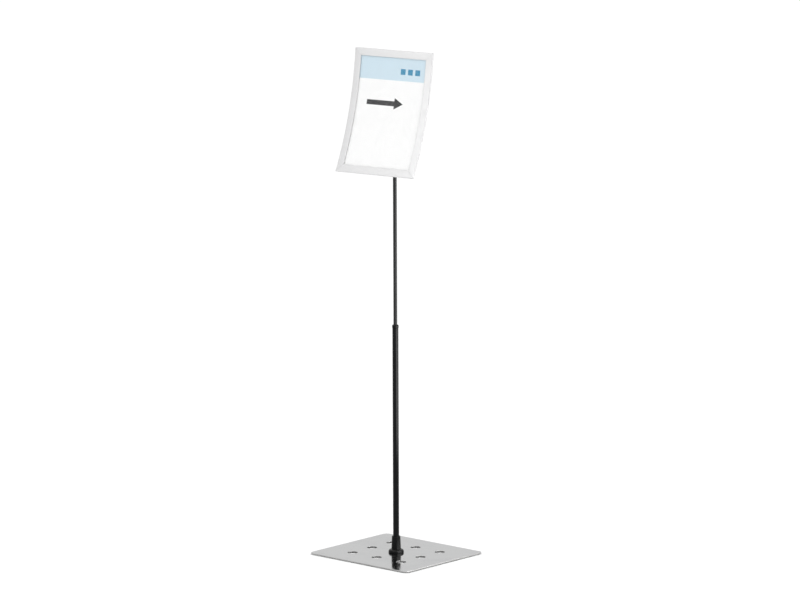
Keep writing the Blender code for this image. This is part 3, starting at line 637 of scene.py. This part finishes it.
pivot = Vector(joints["panel_turn"]["pos_m"])
backward = Vector(joints["panel_turn"]["axis"]).normalized()
HEAD = Matrix((across, backward, across.cross(backward))).transposed().to_4x4()
HEAD.translation = pivot
mast_pivot = MAST.inverted() @ pivot
PANEL_LEAN = math.asin(-backward.z)
SLEEVE_BORE = UPPER_RADIUS + CLEAR
SLEEVE_RADIUS = SLEEVE_BORE + 0.0037
SLEEVE_LENGTH = 0.044
SLEEVE_CAP = 0.005
SLEEVE_EDGE = 0.001
DISC_RADIUS = 0.019
DISC_FRONT = 0.0104
DISC_BACK = 0.0154
ARM_HALF = 0.007
ARM_TOP_DROP = 0.002         # where the arm's outline meets the sleeve, below the sleeve's top
ARM_FOOT_DROP = 0.038
ARM_HEEL_DROP = 0.034
ARM_HEEL_REACH = 0.004       # lower corner of the arm, out from the sleeve
HIGH_SEAT = 0.45             # where the arm meets the disc, as shares of its radius below its centre
LOW_SEAT = 0.95
PIVOT_DRILL = 0.03
SET_SCREW_HOLE = 0.0023
SET_SCREW_DRILL = 0.02
CUT_OVER = 0.004             # how far a cutter runs past a face
CAST_VOXEL = 0.0006


def behind(depth, up):
    """Point behind the panel's middle, in the mast's frame."""
    return mast_pivot + Vector((0, depth * math.cos(PANEL_LEAN) + up * math.sin(PANEL_LEAN),
                                up * math.cos(PANEL_LEAN) - depth * math.sin(PANEL_LEAN)))


BACKWARD = Matrix.Rotation(math.radians(-90), 4, "X")   # turns +Z to +Y
top = UPPER_LENGTH + CLEAR + SLEEVE_CAP
bottom = top - SLEEVE_LENGTH
sleeve = [(0, top), (SLEEVE_RADIUS - SLEEVE_EDGE, top), (SLEEVE_RADIUS, top - SLEEVE_EDGE),
          (SLEEVE_RADIUS, bottom), (0, bottom)]
casting = piece("bracket_casting", turned(sleeve), place=MAST)
high_seat = behind(DISC_BACK - CLEAR, -DISC_RADIUS * HIGH_SEAT)
low_seat = behind(DISC_FRONT + CLEAR, -DISC_RADIUS * LOW_SEAT)
root = SLEEVE_BORE + CLEAR
outline = [(-root, top - ARM_TOP_DROP), (high_seat.y, high_seat.z), (low_seat.y, low_seat.z),
           (-SLEEVE_RADIUS - ARM_HEEL_REACH, top - ARM_HEEL_DROP), (-root, top - ARM_FOOT_DROP)]
arm = prism(outline, -ARM_HALF, ARM_HALF)
arm.transform(Matrix(((0, 0, 1, 0), (1, 0, 0, 0), (0, 1, 0, 0), (0, 0, 0, 1))))
carve(casting, arm, "UNION", place=MAST)
disc = prism(circle(DISC_RADIUS), DISC_FRONT, DISC_BACK)
carve(casting, disc, "UNION", place=HEAD @ BACKWARD)
skin = casting.modifiers.new("cast_skin", "REMESH")
skin.mode = "VOXEL"
skin.voxel_size = CAST_VOXEL
soften = casting.modifiers.new("soften", "SMOOTH")
soften.factor = 0.5
soften.iterations = 12
settle(casting)
bore = [(0, top - SLEEVE_CAP), (SLEEVE_BORE, top - SLEEVE_CAP), (SLEEVE_BORE, bottom - CUT_OVER),
        (0, bottom - CUT_OVER)]
carve(casting, turned(bore), place=MAST)
carve(casting, prism(circle(BOLT_HOLE_RADIUS, SMALL_STEPS), 0, PIVOT_DRILL), place=HEAD @ BACKWARD)
screw_low, screw_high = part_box("set_screw")
screw_height = (screw_low.z + screw_high.z) / 2 - low.z
carve(casting, prism(circle(SET_SCREW_HOLE, SMALL_STEPS), 0, SET_SCREW_DRILL),
      place=MAST @ Matrix.Translation((0, 0, screw_height)) @ BACKWARD)
casting.data.materials.append(satin_coat)
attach(casting, "mast")
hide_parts("head_bracket")


# ---- pivot
# A flat steel plate on the panel's back, and the bolt, nylon and spring washers and lock nut that let
# the panel be turned from portrait to landscape against a steady drag.

PIVOT_PLATE_FRONT = 0.0058
PIVOT_PLATE_BACK = 0.0088
PIVOT_PLATE_SIDE = 0.056
PIVOT_PLATE_CORNER = 0.006
PIVOT_SINK_DEPTH = 0.0028
WASHER_FRONT = 0.0091
WASHER_BACK = 0.0101
WASHER_RADIUS = 0.017
SPRING_FRONT = 0.0157
SPRING_THICK = 0.0005
SPRING_RADIUS = 0.0065
SPRING_EDGE = 0.0001
NUT_FRONT = 0.0170
NUT_BACK = 0.0220
NUT_FLATS = 0.010
NUT_SHOULDER = NUT_BACK - 0.0014   # end of the hexagon
NUT_BITE = 0.0007            # chamfer that takes off the hexagon's corners
CROWN_FRONT = NUT_FRONT + 0.002
CROWN_RADIUS = 0.0046
CROWN_ROUND = 0.0008
STUD_HEAD_HEIGHT = 0.0025
STUD_THREAD = 0.0032         # start of the thread, behind the head's face
STUD_END = 0.0232
RUN_RADIUS = BOLT_RADIUS + CLEAR
SCREW_HOLE = 0.0018
SCREW_STEPS = 32
SCREW_HALF_PITCH = 0.020
EDGE = 0.0003

IN_HEAD = HEAD @ BACKWARD     # local Z runs backwards from the panel's front face
SCREW_SPOTS = [(x * SCREW_HALF_PITCH, y * SCREW_HALF_PITCH) for x in (-1, 1) for y in (-1, 1)]


def washer(front, back, inner, outer):
    """Flat ring with its edges broken."""
    return turned([(inner, front + EDGE), (inner + EDGE, front), (outer - EDGE, front), (outer, front + EDGE),
                   (outer, back - EDGE), (outer - EDGE, back), (inner + EDGE, back), (inner, back - EDGE)])


rows = ([(inset, PIVOT_PLATE_FRONT + drop) for inset, drop in rounding]
        + [(inset, PIVOT_PLATE_BACK - drop) for inset, drop in reversed(rounding)])
bolt_rows = [(SINK_RADIUS, PIVOT_PLATE_FRONT), (RUN_RADIUS, PIVOT_PLATE_FRONT + PIVOT_SINK_DEPTH),
             (RUN_RADIUS, PIVOT_PLATE_BACK)]
rims = [rim(lambda inset: rounded_box(PIVOT_PLATE_SIDE - 2 * inset, PIVOT_PLATE_SIDE - 2 * inset,
                                      PIVOT_PLATE_CORNER - inset), rows),
        rim(circle, bolt_rows)]
rims += [rim(lambda inset: circle(SCREW_HOLE + inset, SCREW_STEPS), rows, spot) for spot in SCREW_SPOTS]
pressed_plate = piece("pivot_mounting_plate", pierced_plate(rims), satin_coat, place=IN_HEAD)
flat_faces(pressed_plate)
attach(pressed_plate, "panel")
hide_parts("pivot_plate")

head_front = PIVOT_PLATE_FRONT + CLEAR
screw = countersunk(head_front, STUD_HEAD_HEIGHT, head_front + STUD_THREAD, STUD_END)
stud = piece("pivot_stud", screw, zinc_plate, place=IN_HEAD)
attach(stud, "panel")
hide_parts("pivot_bolt")

drag_ring = piece("drag_washer", washer(WASHER_FRONT, WASHER_BACK, RUN_RADIUS, WASHER_RADIUS),
                  natural_nylon, place=IN_HEAD)
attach(drag_ring, "mast")
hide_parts("friction_washer")

dish = SPRING_FRONT + SPRING_THICK
profile = [(RUN_RADIUS, dish), (RUN_RADIUS + SPRING_EDGE, dish - SPRING_EDGE / 2),
           (SPRING_RADIUS - SPRING_EDGE, SPRING_FRONT), (SPRING_RADIUS, SPRING_FRONT + SPRING_EDGE),
           (SPRING_RADIUS, dish - SPRING_EDGE), (SPRING_RADIUS - SPRING_EDGE, dish),
           (RUN_RADIUS, dish + SPRING_THICK)]
cupped = piece("cupped_washer", turned(profile), zinc_plate, place=IN_HEAD)
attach(cupped, "mast")
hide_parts("spring_washer")

corner = NUT_FLATS / math.sqrt(3)
nut = piece("nylon_lock_nut", prism(circle(corner, 6), NUT_FRONT, NUT_SHOULDER), zinc_plate, place=IN_HEAD)
barrel = [(0, NUT_FRONT), (NUT_FLATS / 2, NUT_FRONT), (corner, NUT_FRONT + NUT_BITE),
          (corner, NUT_SHOULDER - NUT_BITE / 2), (NUT_FLATS / 2, NUT_SHOULDER), (0, NUT_SHOULDER)]
carve(nut, turned(barrel), "INTERSECT", place=IN_HEAD)
crown = [(0, CROWN_FRONT), (CROWN_RADIUS, CROWN_FRONT)]
crown += arc((CROWN_RADIUS - CROWN_ROUND, NUT_BACK - CROWN_ROUND), CROWN_ROUND, 0, 90, 5) + [(0, NUT_BACK)]
carve(nut, turned(crown), "UNION", place=IN_HEAD)
carve(nut, prism(circle(RUN_RADIUS, SMALL_STEPS), NUT_FRONT - CUT_OVER, NUT_BACK + CUT_OVER), place=IN_HEAD)
flat_faces(nut)
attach(nut, "panel")
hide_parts("lock_nut")

for number in range(1, 5):
    refinish(f"panel_screw_{number}", zinc_plate)


# ---- curved frame
# Four silver-grey mouldings around the sheet, hollow towards the reader, mitred at the corners. The
# lip that holds the sheet is slightly crowned, so that each side of the frame takes the light differently.

CURVE_RADIUS = (Vector(joints["insert_slide"]["pos_m"]) - pivot).length
PANEL_HALF_WIDTH = 0.1205
PANEL_HALF_LENGTH = 0.1654
PANEL_DEPTH = 0.0055
LIP_SIDE = 0.0197
LIP_END = 0.0199
LIP_THICK = 0.0015
LIP_CROWN = 0.0006
LIP_EDGE = 0.0012            # width of the outer edge's rounding
LIP_ROUND = 0.0005
REBATE_SIDE = 0.0152
REBATE_END = 0.0166
RAIL_WALL = 0.0020
BACK_FRONT = 0.0035
RAIL_ARRIS = 0.0002
RAIL_TAPER = 0.0001          # the top rail's outer wall leans in by this much
MITRE_GAP = 0.0004
ARC_STEPS = 64


def on_panel(x, along, depth):
    """Point across, up along the curve, and behind the front face, in the head's frame."""
    angle = along / CURVE_RADIUS
    reach = CURVE_RADIUS + depth
    return Vector((x, reach * math.cos(angle) - CURVE_RADIUS, reach * math.sin(angle)))


def loft(rows):
    """Closed solid through rows of points with the same count."""
    bm = bmesh.new()
    rows = [[bm.verts.new(point) for point in row] for row in rows]
    for low_row, high_row in zip(rows, rows[1:]):
        for i in range(len(low_row)):
            j = (i + 1) % len(low_row)
            bm.faces.new((low_row[i], low_row[j], high_row[j], high_row[i]))
    bm.faces.new(rows[0])
    bm.faces.new(rows[-1])
    return bm


def up_the_curve(section, start, end):
    """Rows of a section of (across, depth), swept from start(x) to end(x) along the curve."""
    rows = []
    for step in range(ARC_STEPS + 1):
        rows.append([on_panel(x, start(x) + (end(x) - start(x)) * step / ARC_STEPS, depth)
                     for x, depth in section])
    return loft(rows)


def lip_section(width):
    """Front of a rail as (inset, depth): rounded outer edge, crown, rounded inner edge."""
    flat = width - 2 * LIP_EDGE
    crown = [(LIP_EDGE + flat * t, LIP_CROWN * (1 - t) ** 2) for t in (i / 8 for i in range(9))]
    outer = [(0, LIP_EDGE + LIP_CROWN * 0.6), (LIP_EDGE * 0.25, LIP_CROWN + LIP_EDGE * 0.3)]
    return outer + crown + arc((width - LIP_ROUND, LIP_ROUND), LIP_ROUND, -90, 0)


def rail_section(width, rebate):
    """Whole rail: lip, rebate for the sheet and the back, and outer wall."""
    return lip_section(width) + [(width, LIP_THICK), (rebate, LIP_THICK), (rebate, BACK_FRONT - CLEAR),
                                 (RAIL_WALL, BACK_FRONT - CLEAR), (RAIL_WALL, PANEL_DEPTH),
                                 (RAIL_ARRIS, PANEL_DEPTH), (0, PANEL_DEPTH - RAIL_ARRIS)]


silver_satin, tree, shader = new_finish("silver_satin", {"IOR": 1.48, "Metallic": 0.05})
grain = use_effect(tree, skin_grain, {"Grain": 0.0004, "Detail": 4.0})
flow = use_effect(tree, skin_grain, {"Grain": 0.09, "Detail": 2.0})
marks = use_effect(tree, handling, {"Smear Size": 0.04, "Hair Size": 0.014})
wear = use_effect(tree, edge_wear, {"Width": 0.0005, "Amount": 0.5})
tone = tint(tree, flow["Height"], (0.61, 0.61, 0.613), (0.65, 0.65, 0.653))
feed(shader, {"Base Color": tint(tree, wear["Mask"], tone, (0.76, 0.76, 0.763)),
              "Roughness": between(tree, marks["Smear"], 0.34, 0.46),
              "Normal": relief(tree, grain["Height"], 0.000012)})

for name, side in (("left", -1), ("right", 1)):
    mitre = LIP_END / LIP_SIDE
    section = [(side * (PANEL_HALF_WIDTH - inset), depth)
               for inset, depth in rail_section(LIP_SIDE, REBATE_SIDE)]
    bm = up_the_curve(section, lambda x: MITRE_GAP - PANEL_HALF_LENGTH + (PANEL_HALF_WIDTH - abs(x)) * mitre,
                      lambda x: PANEL_HALF_LENGTH)
    stile = piece(f"frame_{name}_stile", bm, silver_satin, place=HEAD)
    inside = LIP_SIDE + CUT_OVER
    head = PANEL_HALF_LENGTH - MITRE_GAP
    wedge = [(side * (PANEL_HALF_WIDTH - inset), along) for inset, along in
             ((-CUT_OVER, head + CUT_OVER * mitre), (inside, head - inside * mitre),
              (inside, PANEL_HALF_LENGTH + CUT_OVER), (-CUT_OVER, PANEL_HALF_LENGTH + CUT_OVER))]
    carve(stile, loft([[on_panel(x, along, depth) for x, along in wedge]
                       for depth in (-CUT_OVER, LIP_THICK + CLEAR)]), place=HEAD)
    flat_faces(stile)
    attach(stile, "panel")
    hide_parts(f"rail_{name}")

top_section = [(0, LIP_THICK - RAIL_TAPER), *lip_section(LIP_END)[1:], (LIP_END, LIP_THICK),
               (RAIL_TAPER, LIP_THICK)]
for name, end, section in (("bottom", -1, rail_section(LIP_END, REBATE_END)), ("top", 1, top_section)):
    mitre = LIP_SIDE / LIP_END
    rows = []
    for side in (-1, 1):
        rows.append([on_panel(side * (PANEL_HALF_WIDTH - inset * mitre),
                              end * (PANEL_HALF_LENGTH - inset), depth) for inset, depth in section])
    rail = piece(f"frame_{name}_rail", loft(rows), silver_satin, place=HEAD)
    flat_faces(rail)
    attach(rail, "panel")
    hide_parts(f"rail_{name}")


# ---- back of the frame
# A curved sheet moulded in the same silver-grey, let in between the rails. Four small screws, hidden
# under the printed sheet, hold the pivot plate to it.

BACK_HALF_WIDTH = PANEL_HALF_WIDTH - RAIL_WALL - CLEAR
SCREW_SINK_RADIUS = 0.0031
SCREW_SINK_START = 0.0037    # depth at which the countersink narrows, and where it ends
SCREW_SINK_END = 0.0052
DRILL_START = -0.002
DRILL_END = 0.009


def sheet_section(half_width, front, back, edge):
    """Thin section of (across, depth) with its corners broken."""
    right = [(half_width - edge, front), (half_width, front + edge), (half_width, back - edge),
             (half_width - edge, back)]
    return [(-x, depth) for x, depth in reversed(right)] + right


section = sheet_section(BACK_HALF_WIDTH, BACK_FRONT, PANEL_DEPTH, EDGE)
bm = up_the_curve(section, lambda x: -PANEL_HALF_LENGTH + RAIL_WALL + CLEAR,
                  lambda x: PANEL_HALF_LENGTH - CLEAR)
shell = piece("frame_back_shell", bm, silver_satin, place=HEAD)
sink = [(0, DRILL_START), (SCREW_SINK_RADIUS, DRILL_START), (SCREW_SINK_RADIUS, SCREW_SINK_START),
        (SCREW_HOLE, SCREW_SINK_END), (SCREW_HOLE, DRILL_END), (0, DRILL_END)]
for x, z in SCREW_SPOTS:
    carve(shell, turned(sink, SCREW_STEPS), place=HEAD @ Matrix.Translation((x, 0, z)) @ BACKWARD)
flat_faces(shell)
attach(shell, "panel")
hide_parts("back_panel")


# ---- clear cover
# Clear rigid film over the sheet, with a matt anti-glare face. Its free upper edge leaves the slot
# through which the sheet is drawn out.

COVER_FRONT = 0.0018
COVER_BACK = 0.0026
COVER_EDGE = 0.0001
COVER_DROP = 0.001           # its upper edge below the frame's
SHEET_HALF_WIDTH = 0.105
SHEET_HALF_LENGTH = 0.1485

clear_film, tree, shader = new_finish("clear_film", {"Base Color": (0.93, 0.95, 0.96, 1), "IOR": 1.49,
                                                     "Specular IOR Level": 0.3})
marks = use_effect(tree, handling, {"Smear Size": 0.05, "Hair Size": 0.02})
matt = use_effect(tree, skin_grain, {"Grain": 0.0003, "Detail": 2.0})
feed(shader, {"Roughness": between(tree, marks["Smear"], 0.22, 0.32),
              "Alpha": between(tree, marks["Smear"], 0.02, 0.045),
              "Normal": relief(tree, matt["Height"], 0.000004)})

section = sheet_section(SHEET_HALF_WIDTH, COVER_FRONT, COVER_BACK, COVER_EDGE)
bm = up_the_curve(section, lambda x: -SHEET_HALF_LENGTH, lambda x: PANEL_HALF_LENGTH - COVER_DROP)
film = piece("clear_front_film", bm, clear_film, place=HEAD)
flat_faces(film)
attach(film, "panel")
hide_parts("clear_cover")


# ---- printed sheet
# A4 card printed with a pale blue band at its head, three plain squares in it, and one dark arrow. Each
# ink is a region of the card's own front face.

SHEET_FRONT = 0.0029
SHEET_BACK = 0.0032
BAND_FOOT = 0.0868
SQUARE = 0.0150
SQUARE_STEP = 0.0225
SQUARE_LEFT = 0.0245
SQUARE_FOOT = 0.1030
ARROW_TAIL = -0.0700
ARROW_TIP = 0.0420
ARROW_MIDDLE = 0.0265
ARROW_HEAD = 0.0270
ARROW_HALF_HEAD = 0.0150
ARROW_HALF_SHAFT = 0.0065
CURVE_STEP = 0.0066          # spacing of the rows that follow the curve


def box_outline(left, right, foot, head):
    """Corners of an upright rectangle."""
    return [(left, foot), (right, foot), (right, head), (left, head)]


def inside_outline(x, y, outline):
    """Whether a point lies inside an outline."""
    found = False
    for (x0, y0), (x1, y1) in zip(outline, outline[1:] + outline[:1]):
        if (y0 > y) != (y1 > y) and x < x0 + (y - y0) / (y1 - y0) * (x1 - x0):
            found = not found
    return found


def printed_ink(name, first, second, rough):
    """Ink laid on card: slightly uneven coverage over the paper's tooth."""
    ink, tree, shader = new_finish(name, {"IOR": 1.45, "Specular IOR Level": 0.3})
    tooth = use_effect(tree, skin_grain, {"Grain": 0.0002, "Detail": 5.0})
    spread = use_effect(tree, skin_grain, {"Grain": 0.012, "Detail": 4.0})
    feed(shader, {"Base Color": tint(tree, spread["Height"], first, second),
                  "Roughness": between(tree, tooth["Height"], rough, rough + 0.2),
                  "Normal": relief(tree, tooth["Height"], 0.000008)})
    return ink


inks = [printed_ink("white_card", (0.895, 0.895, 0.892), (0.875, 0.875, 0.872), 0.6),
        printed_ink("pale_blue_ink", (0.575, 0.705, 0.785), (0.555, 0.69, 0.77), 0.5),
        printed_ink("deep_blue_ink", (0.030, 0.245, 0.41), (0.024, 0.225, 0.385), 0.45),
        printed_ink("black_ink", (0.006, 0.006, 0.007), (0.012, 0.012, 0.013), 0.45)]
band = box_outline(-SHEET_HALF_WIDTH, SHEET_HALF_WIDTH, BAND_FOOT, SHEET_HALF_LENGTH)
squares = [box_outline(SQUARE_LEFT + SQUARE_STEP * i, SQUARE_LEFT + SQUARE_STEP * i + SQUARE,
                       SQUARE_FOOT, SQUARE_FOOT + SQUARE) for i in range(3)]
barb = ARROW_TIP - ARROW_HEAD
half_arrow = [(ARROW_TAIL, ARROW_HALF_SHAFT), (barb, ARROW_HALF_SHAFT), (barb, ARROW_HALF_HEAD),
              (ARROW_TIP, 0)]
arrow = [(x, ARROW_MIDDLE + y) for x, y in half_arrow]
arrow += [(x, ARROW_MIDDLE - y) for x, y in reversed(half_arrow[:-1])]
points, edges = [], []
for outline in [box_outline(-SHEET_HALF_WIDTH, SHEET_HALF_WIDTH, -SHEET_HALF_LENGTH, SHEET_HALF_LENGTH),
                arrow, *squares]:
    edges += [(len(points) + i, len(points) + (i + 1) % len(outline)) for i in range(len(outline))]
    points += outline
regions = [(arrow, 3)] + [(square, 2) for square in squares] + [(band, 1)]   # with the number of the ink
count = math.ceil(2 * SHEET_HALF_LENGTH / CURVE_STEP)
levels = [SHEET_HALF_LENGTH * (2 * i / count - 1) for i in range(1, count)] + [BAND_FOOT]
for level in levels:
    edges.append((len(points), len(points) + 1))
    points += [(-SHEET_HALF_WIDTH, level), (SHEET_HALF_WIDTH, level)]
flat_points, _, triangles, _, _, _ = delaunay_2d_cdt([Vector(p) for p in points], edges, [], 0, 1e-7)
bm = bmesh.new()
front = [bm.verts.new(on_panel(p.x, p.y, SHEET_FRONT)) for p in flat_points]
back = [bm.verts.new(on_panel(p.x, p.y, SHEET_BACK)) for p in flat_points]
for triangle in triangles:
    face = bm.faces.new([front[i] for i in triangle])
    bm.faces.new([back[i] for i in reversed(triangle)])
    x = sum(flat_points[i].x for i in triangle) / 3
    y = sum(flat_points[i].y for i in triangle) / 3
    face.material_index = next((ink for outline, ink in regions if inside_outline(x, y, outline)), 0)
front_index = {vert: i for i, vert in enumerate(front)}
for edge in [e for e in bm.edges if e.is_boundary and e.verts[0] in front_index]:
    i, j = (front_index[vert] for vert in edge.verts)
    bm.faces.new((front[i], front[j], back[j], back[i]))
card = piece("printed_sheet", bm, *inks, place=HEAD)
flat_faces(card)
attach(card, "insert")
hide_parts("paper_insert")


# ---- studio
# Pale floor, a white surround that brightens upwards, a broad soft light from the front left, and two soft
# panels, beside the post and before the head, that only show in reflections. The lens is long and far off.

FLOOR_HALF = 150.0
CAMERA_DISTANCE = 13.147
CAMERA_AZIMUTH = math.radians(41.73)
CAMERA_HEIGHT = 3.0404
CAMERA_DIP = math.radians(10.175)
CAMERA_YAW = math.radians(-0.054)
CAMERA_ROLL = math.radians(-0.20)
SKY_AT_HORIZON = 0.72
SKY_ABOVE = 1.16
SKY_RISE = 0.6               # upward part of the direction at which the surround is at its brightest

pale_floor, tree, shader = new_finish("pale_floor", {"Specular IOR Level": 0.0, "Roughness": 0.9})
mottle = use_effect(tree, skin_grain, {"Grain": 0.5, "Detail": 2.0})
feed(shader, {"Base Color": tint(tree, mottle["Height"], (0.94, 0.94, 0.94), (0.95, 0.95, 0.95))})
bm = bmesh.new()
bmesh.ops.create_grid(bm, x_segments=2, y_segments=2, size=FLOOR_HALF)
floor = piece("studio_floor", bm, pale_floor)

scene = bpy.context.scene
world = bpy.data.worlds.new("studio")
world.use_nodes = True
sky = world.node_tree
background = sky.nodes["Background"]
background.inputs["Color"].default_value = (1, 1, 1, 1)
towards = node(sky, "ShaderNodeTexCoord").outputs["Generated"]
split = node(sky, "ShaderNodeSeparateXYZ", {"Vector": towards})
strength = remap(sky, split.outputs["Z"], 0.0, SKY_RISE, SKY_AT_HORIZON, SKY_ABOVE)
feed(background, {"Strength": strength})
scene.world = world
scene.view_settings.view_transform = "Standard"


def soft_light(name, azimuth, distance, height, size, power, aim, lights_faces=True):
    """Rectangular light around the stand; azimuth 0 is at -Y and turns towards +X."""
    data = bpy.data.lights.new(name, "AREA")
    data.shape = "RECTANGLE"
    data.size, data.size_y = size
    data.energy = power
    made = bpy.data.objects.new(name, data)
    made.visible_diffuse = lights_faces
    scene.collection.objects.link(made)
    spot = Vector((distance * math.sin(azimuth), -distance * math.cos(azimuth), height))
    facing = (Vector(aim) - spot).to_track_quat("-Z", "Y").to_matrix().to_4x4()
    made.matrix_world = Matrix.Translation(spot) @ facing


soft_light("side_panel", azimuth=CAMERA_AZIMUTH + math.radians(57), distance=0.9, height=0.75,
           size=(1.35, 1.3), power=36, aim=(0, 0, 0.75), lights_faces=False)
soft_light("head_panel", azimuth=math.radians(-13.4), distance=1.03, height=1.75,
           size=(0.4, 1.0), power=6.2, aim=(0, 0, 1.18), lights_faces=False)
soft_light("front_light", azimuth=CAMERA_AZIMUTH - math.radians(5), distance=3.5, height=3.3,
           size=(2.0, 2.0), power=13, aim=(0, 0, 0.9))

lens = bpy.data.cameras.new("camera")
lens.lens = 229.8
lens.sensor_width = 36.0
lens.clip_end = 400.0
camera = bpy.data.objects.new("camera", lens)
scene.collection.objects.link(camera)
camera.matrix_world = (Matrix.Translation((CAMERA_DISTANCE * math.sin(CAMERA_AZIMUTH),
                                           -CAMERA_DISTANCE * math.cos(CAMERA_AZIMUTH), CAMERA_HEIGHT))
                       @ Matrix.Rotation(CAMERA_AZIMUTH + CAMERA_YAW, 4, "Z")
                       @ Matrix.Rotation(math.pi / 2 - CAMERA_DIP, 4, "X")
                       @ Matrix.Rotation(CAMERA_ROLL, 4, "Z"))
scene.camera = camera
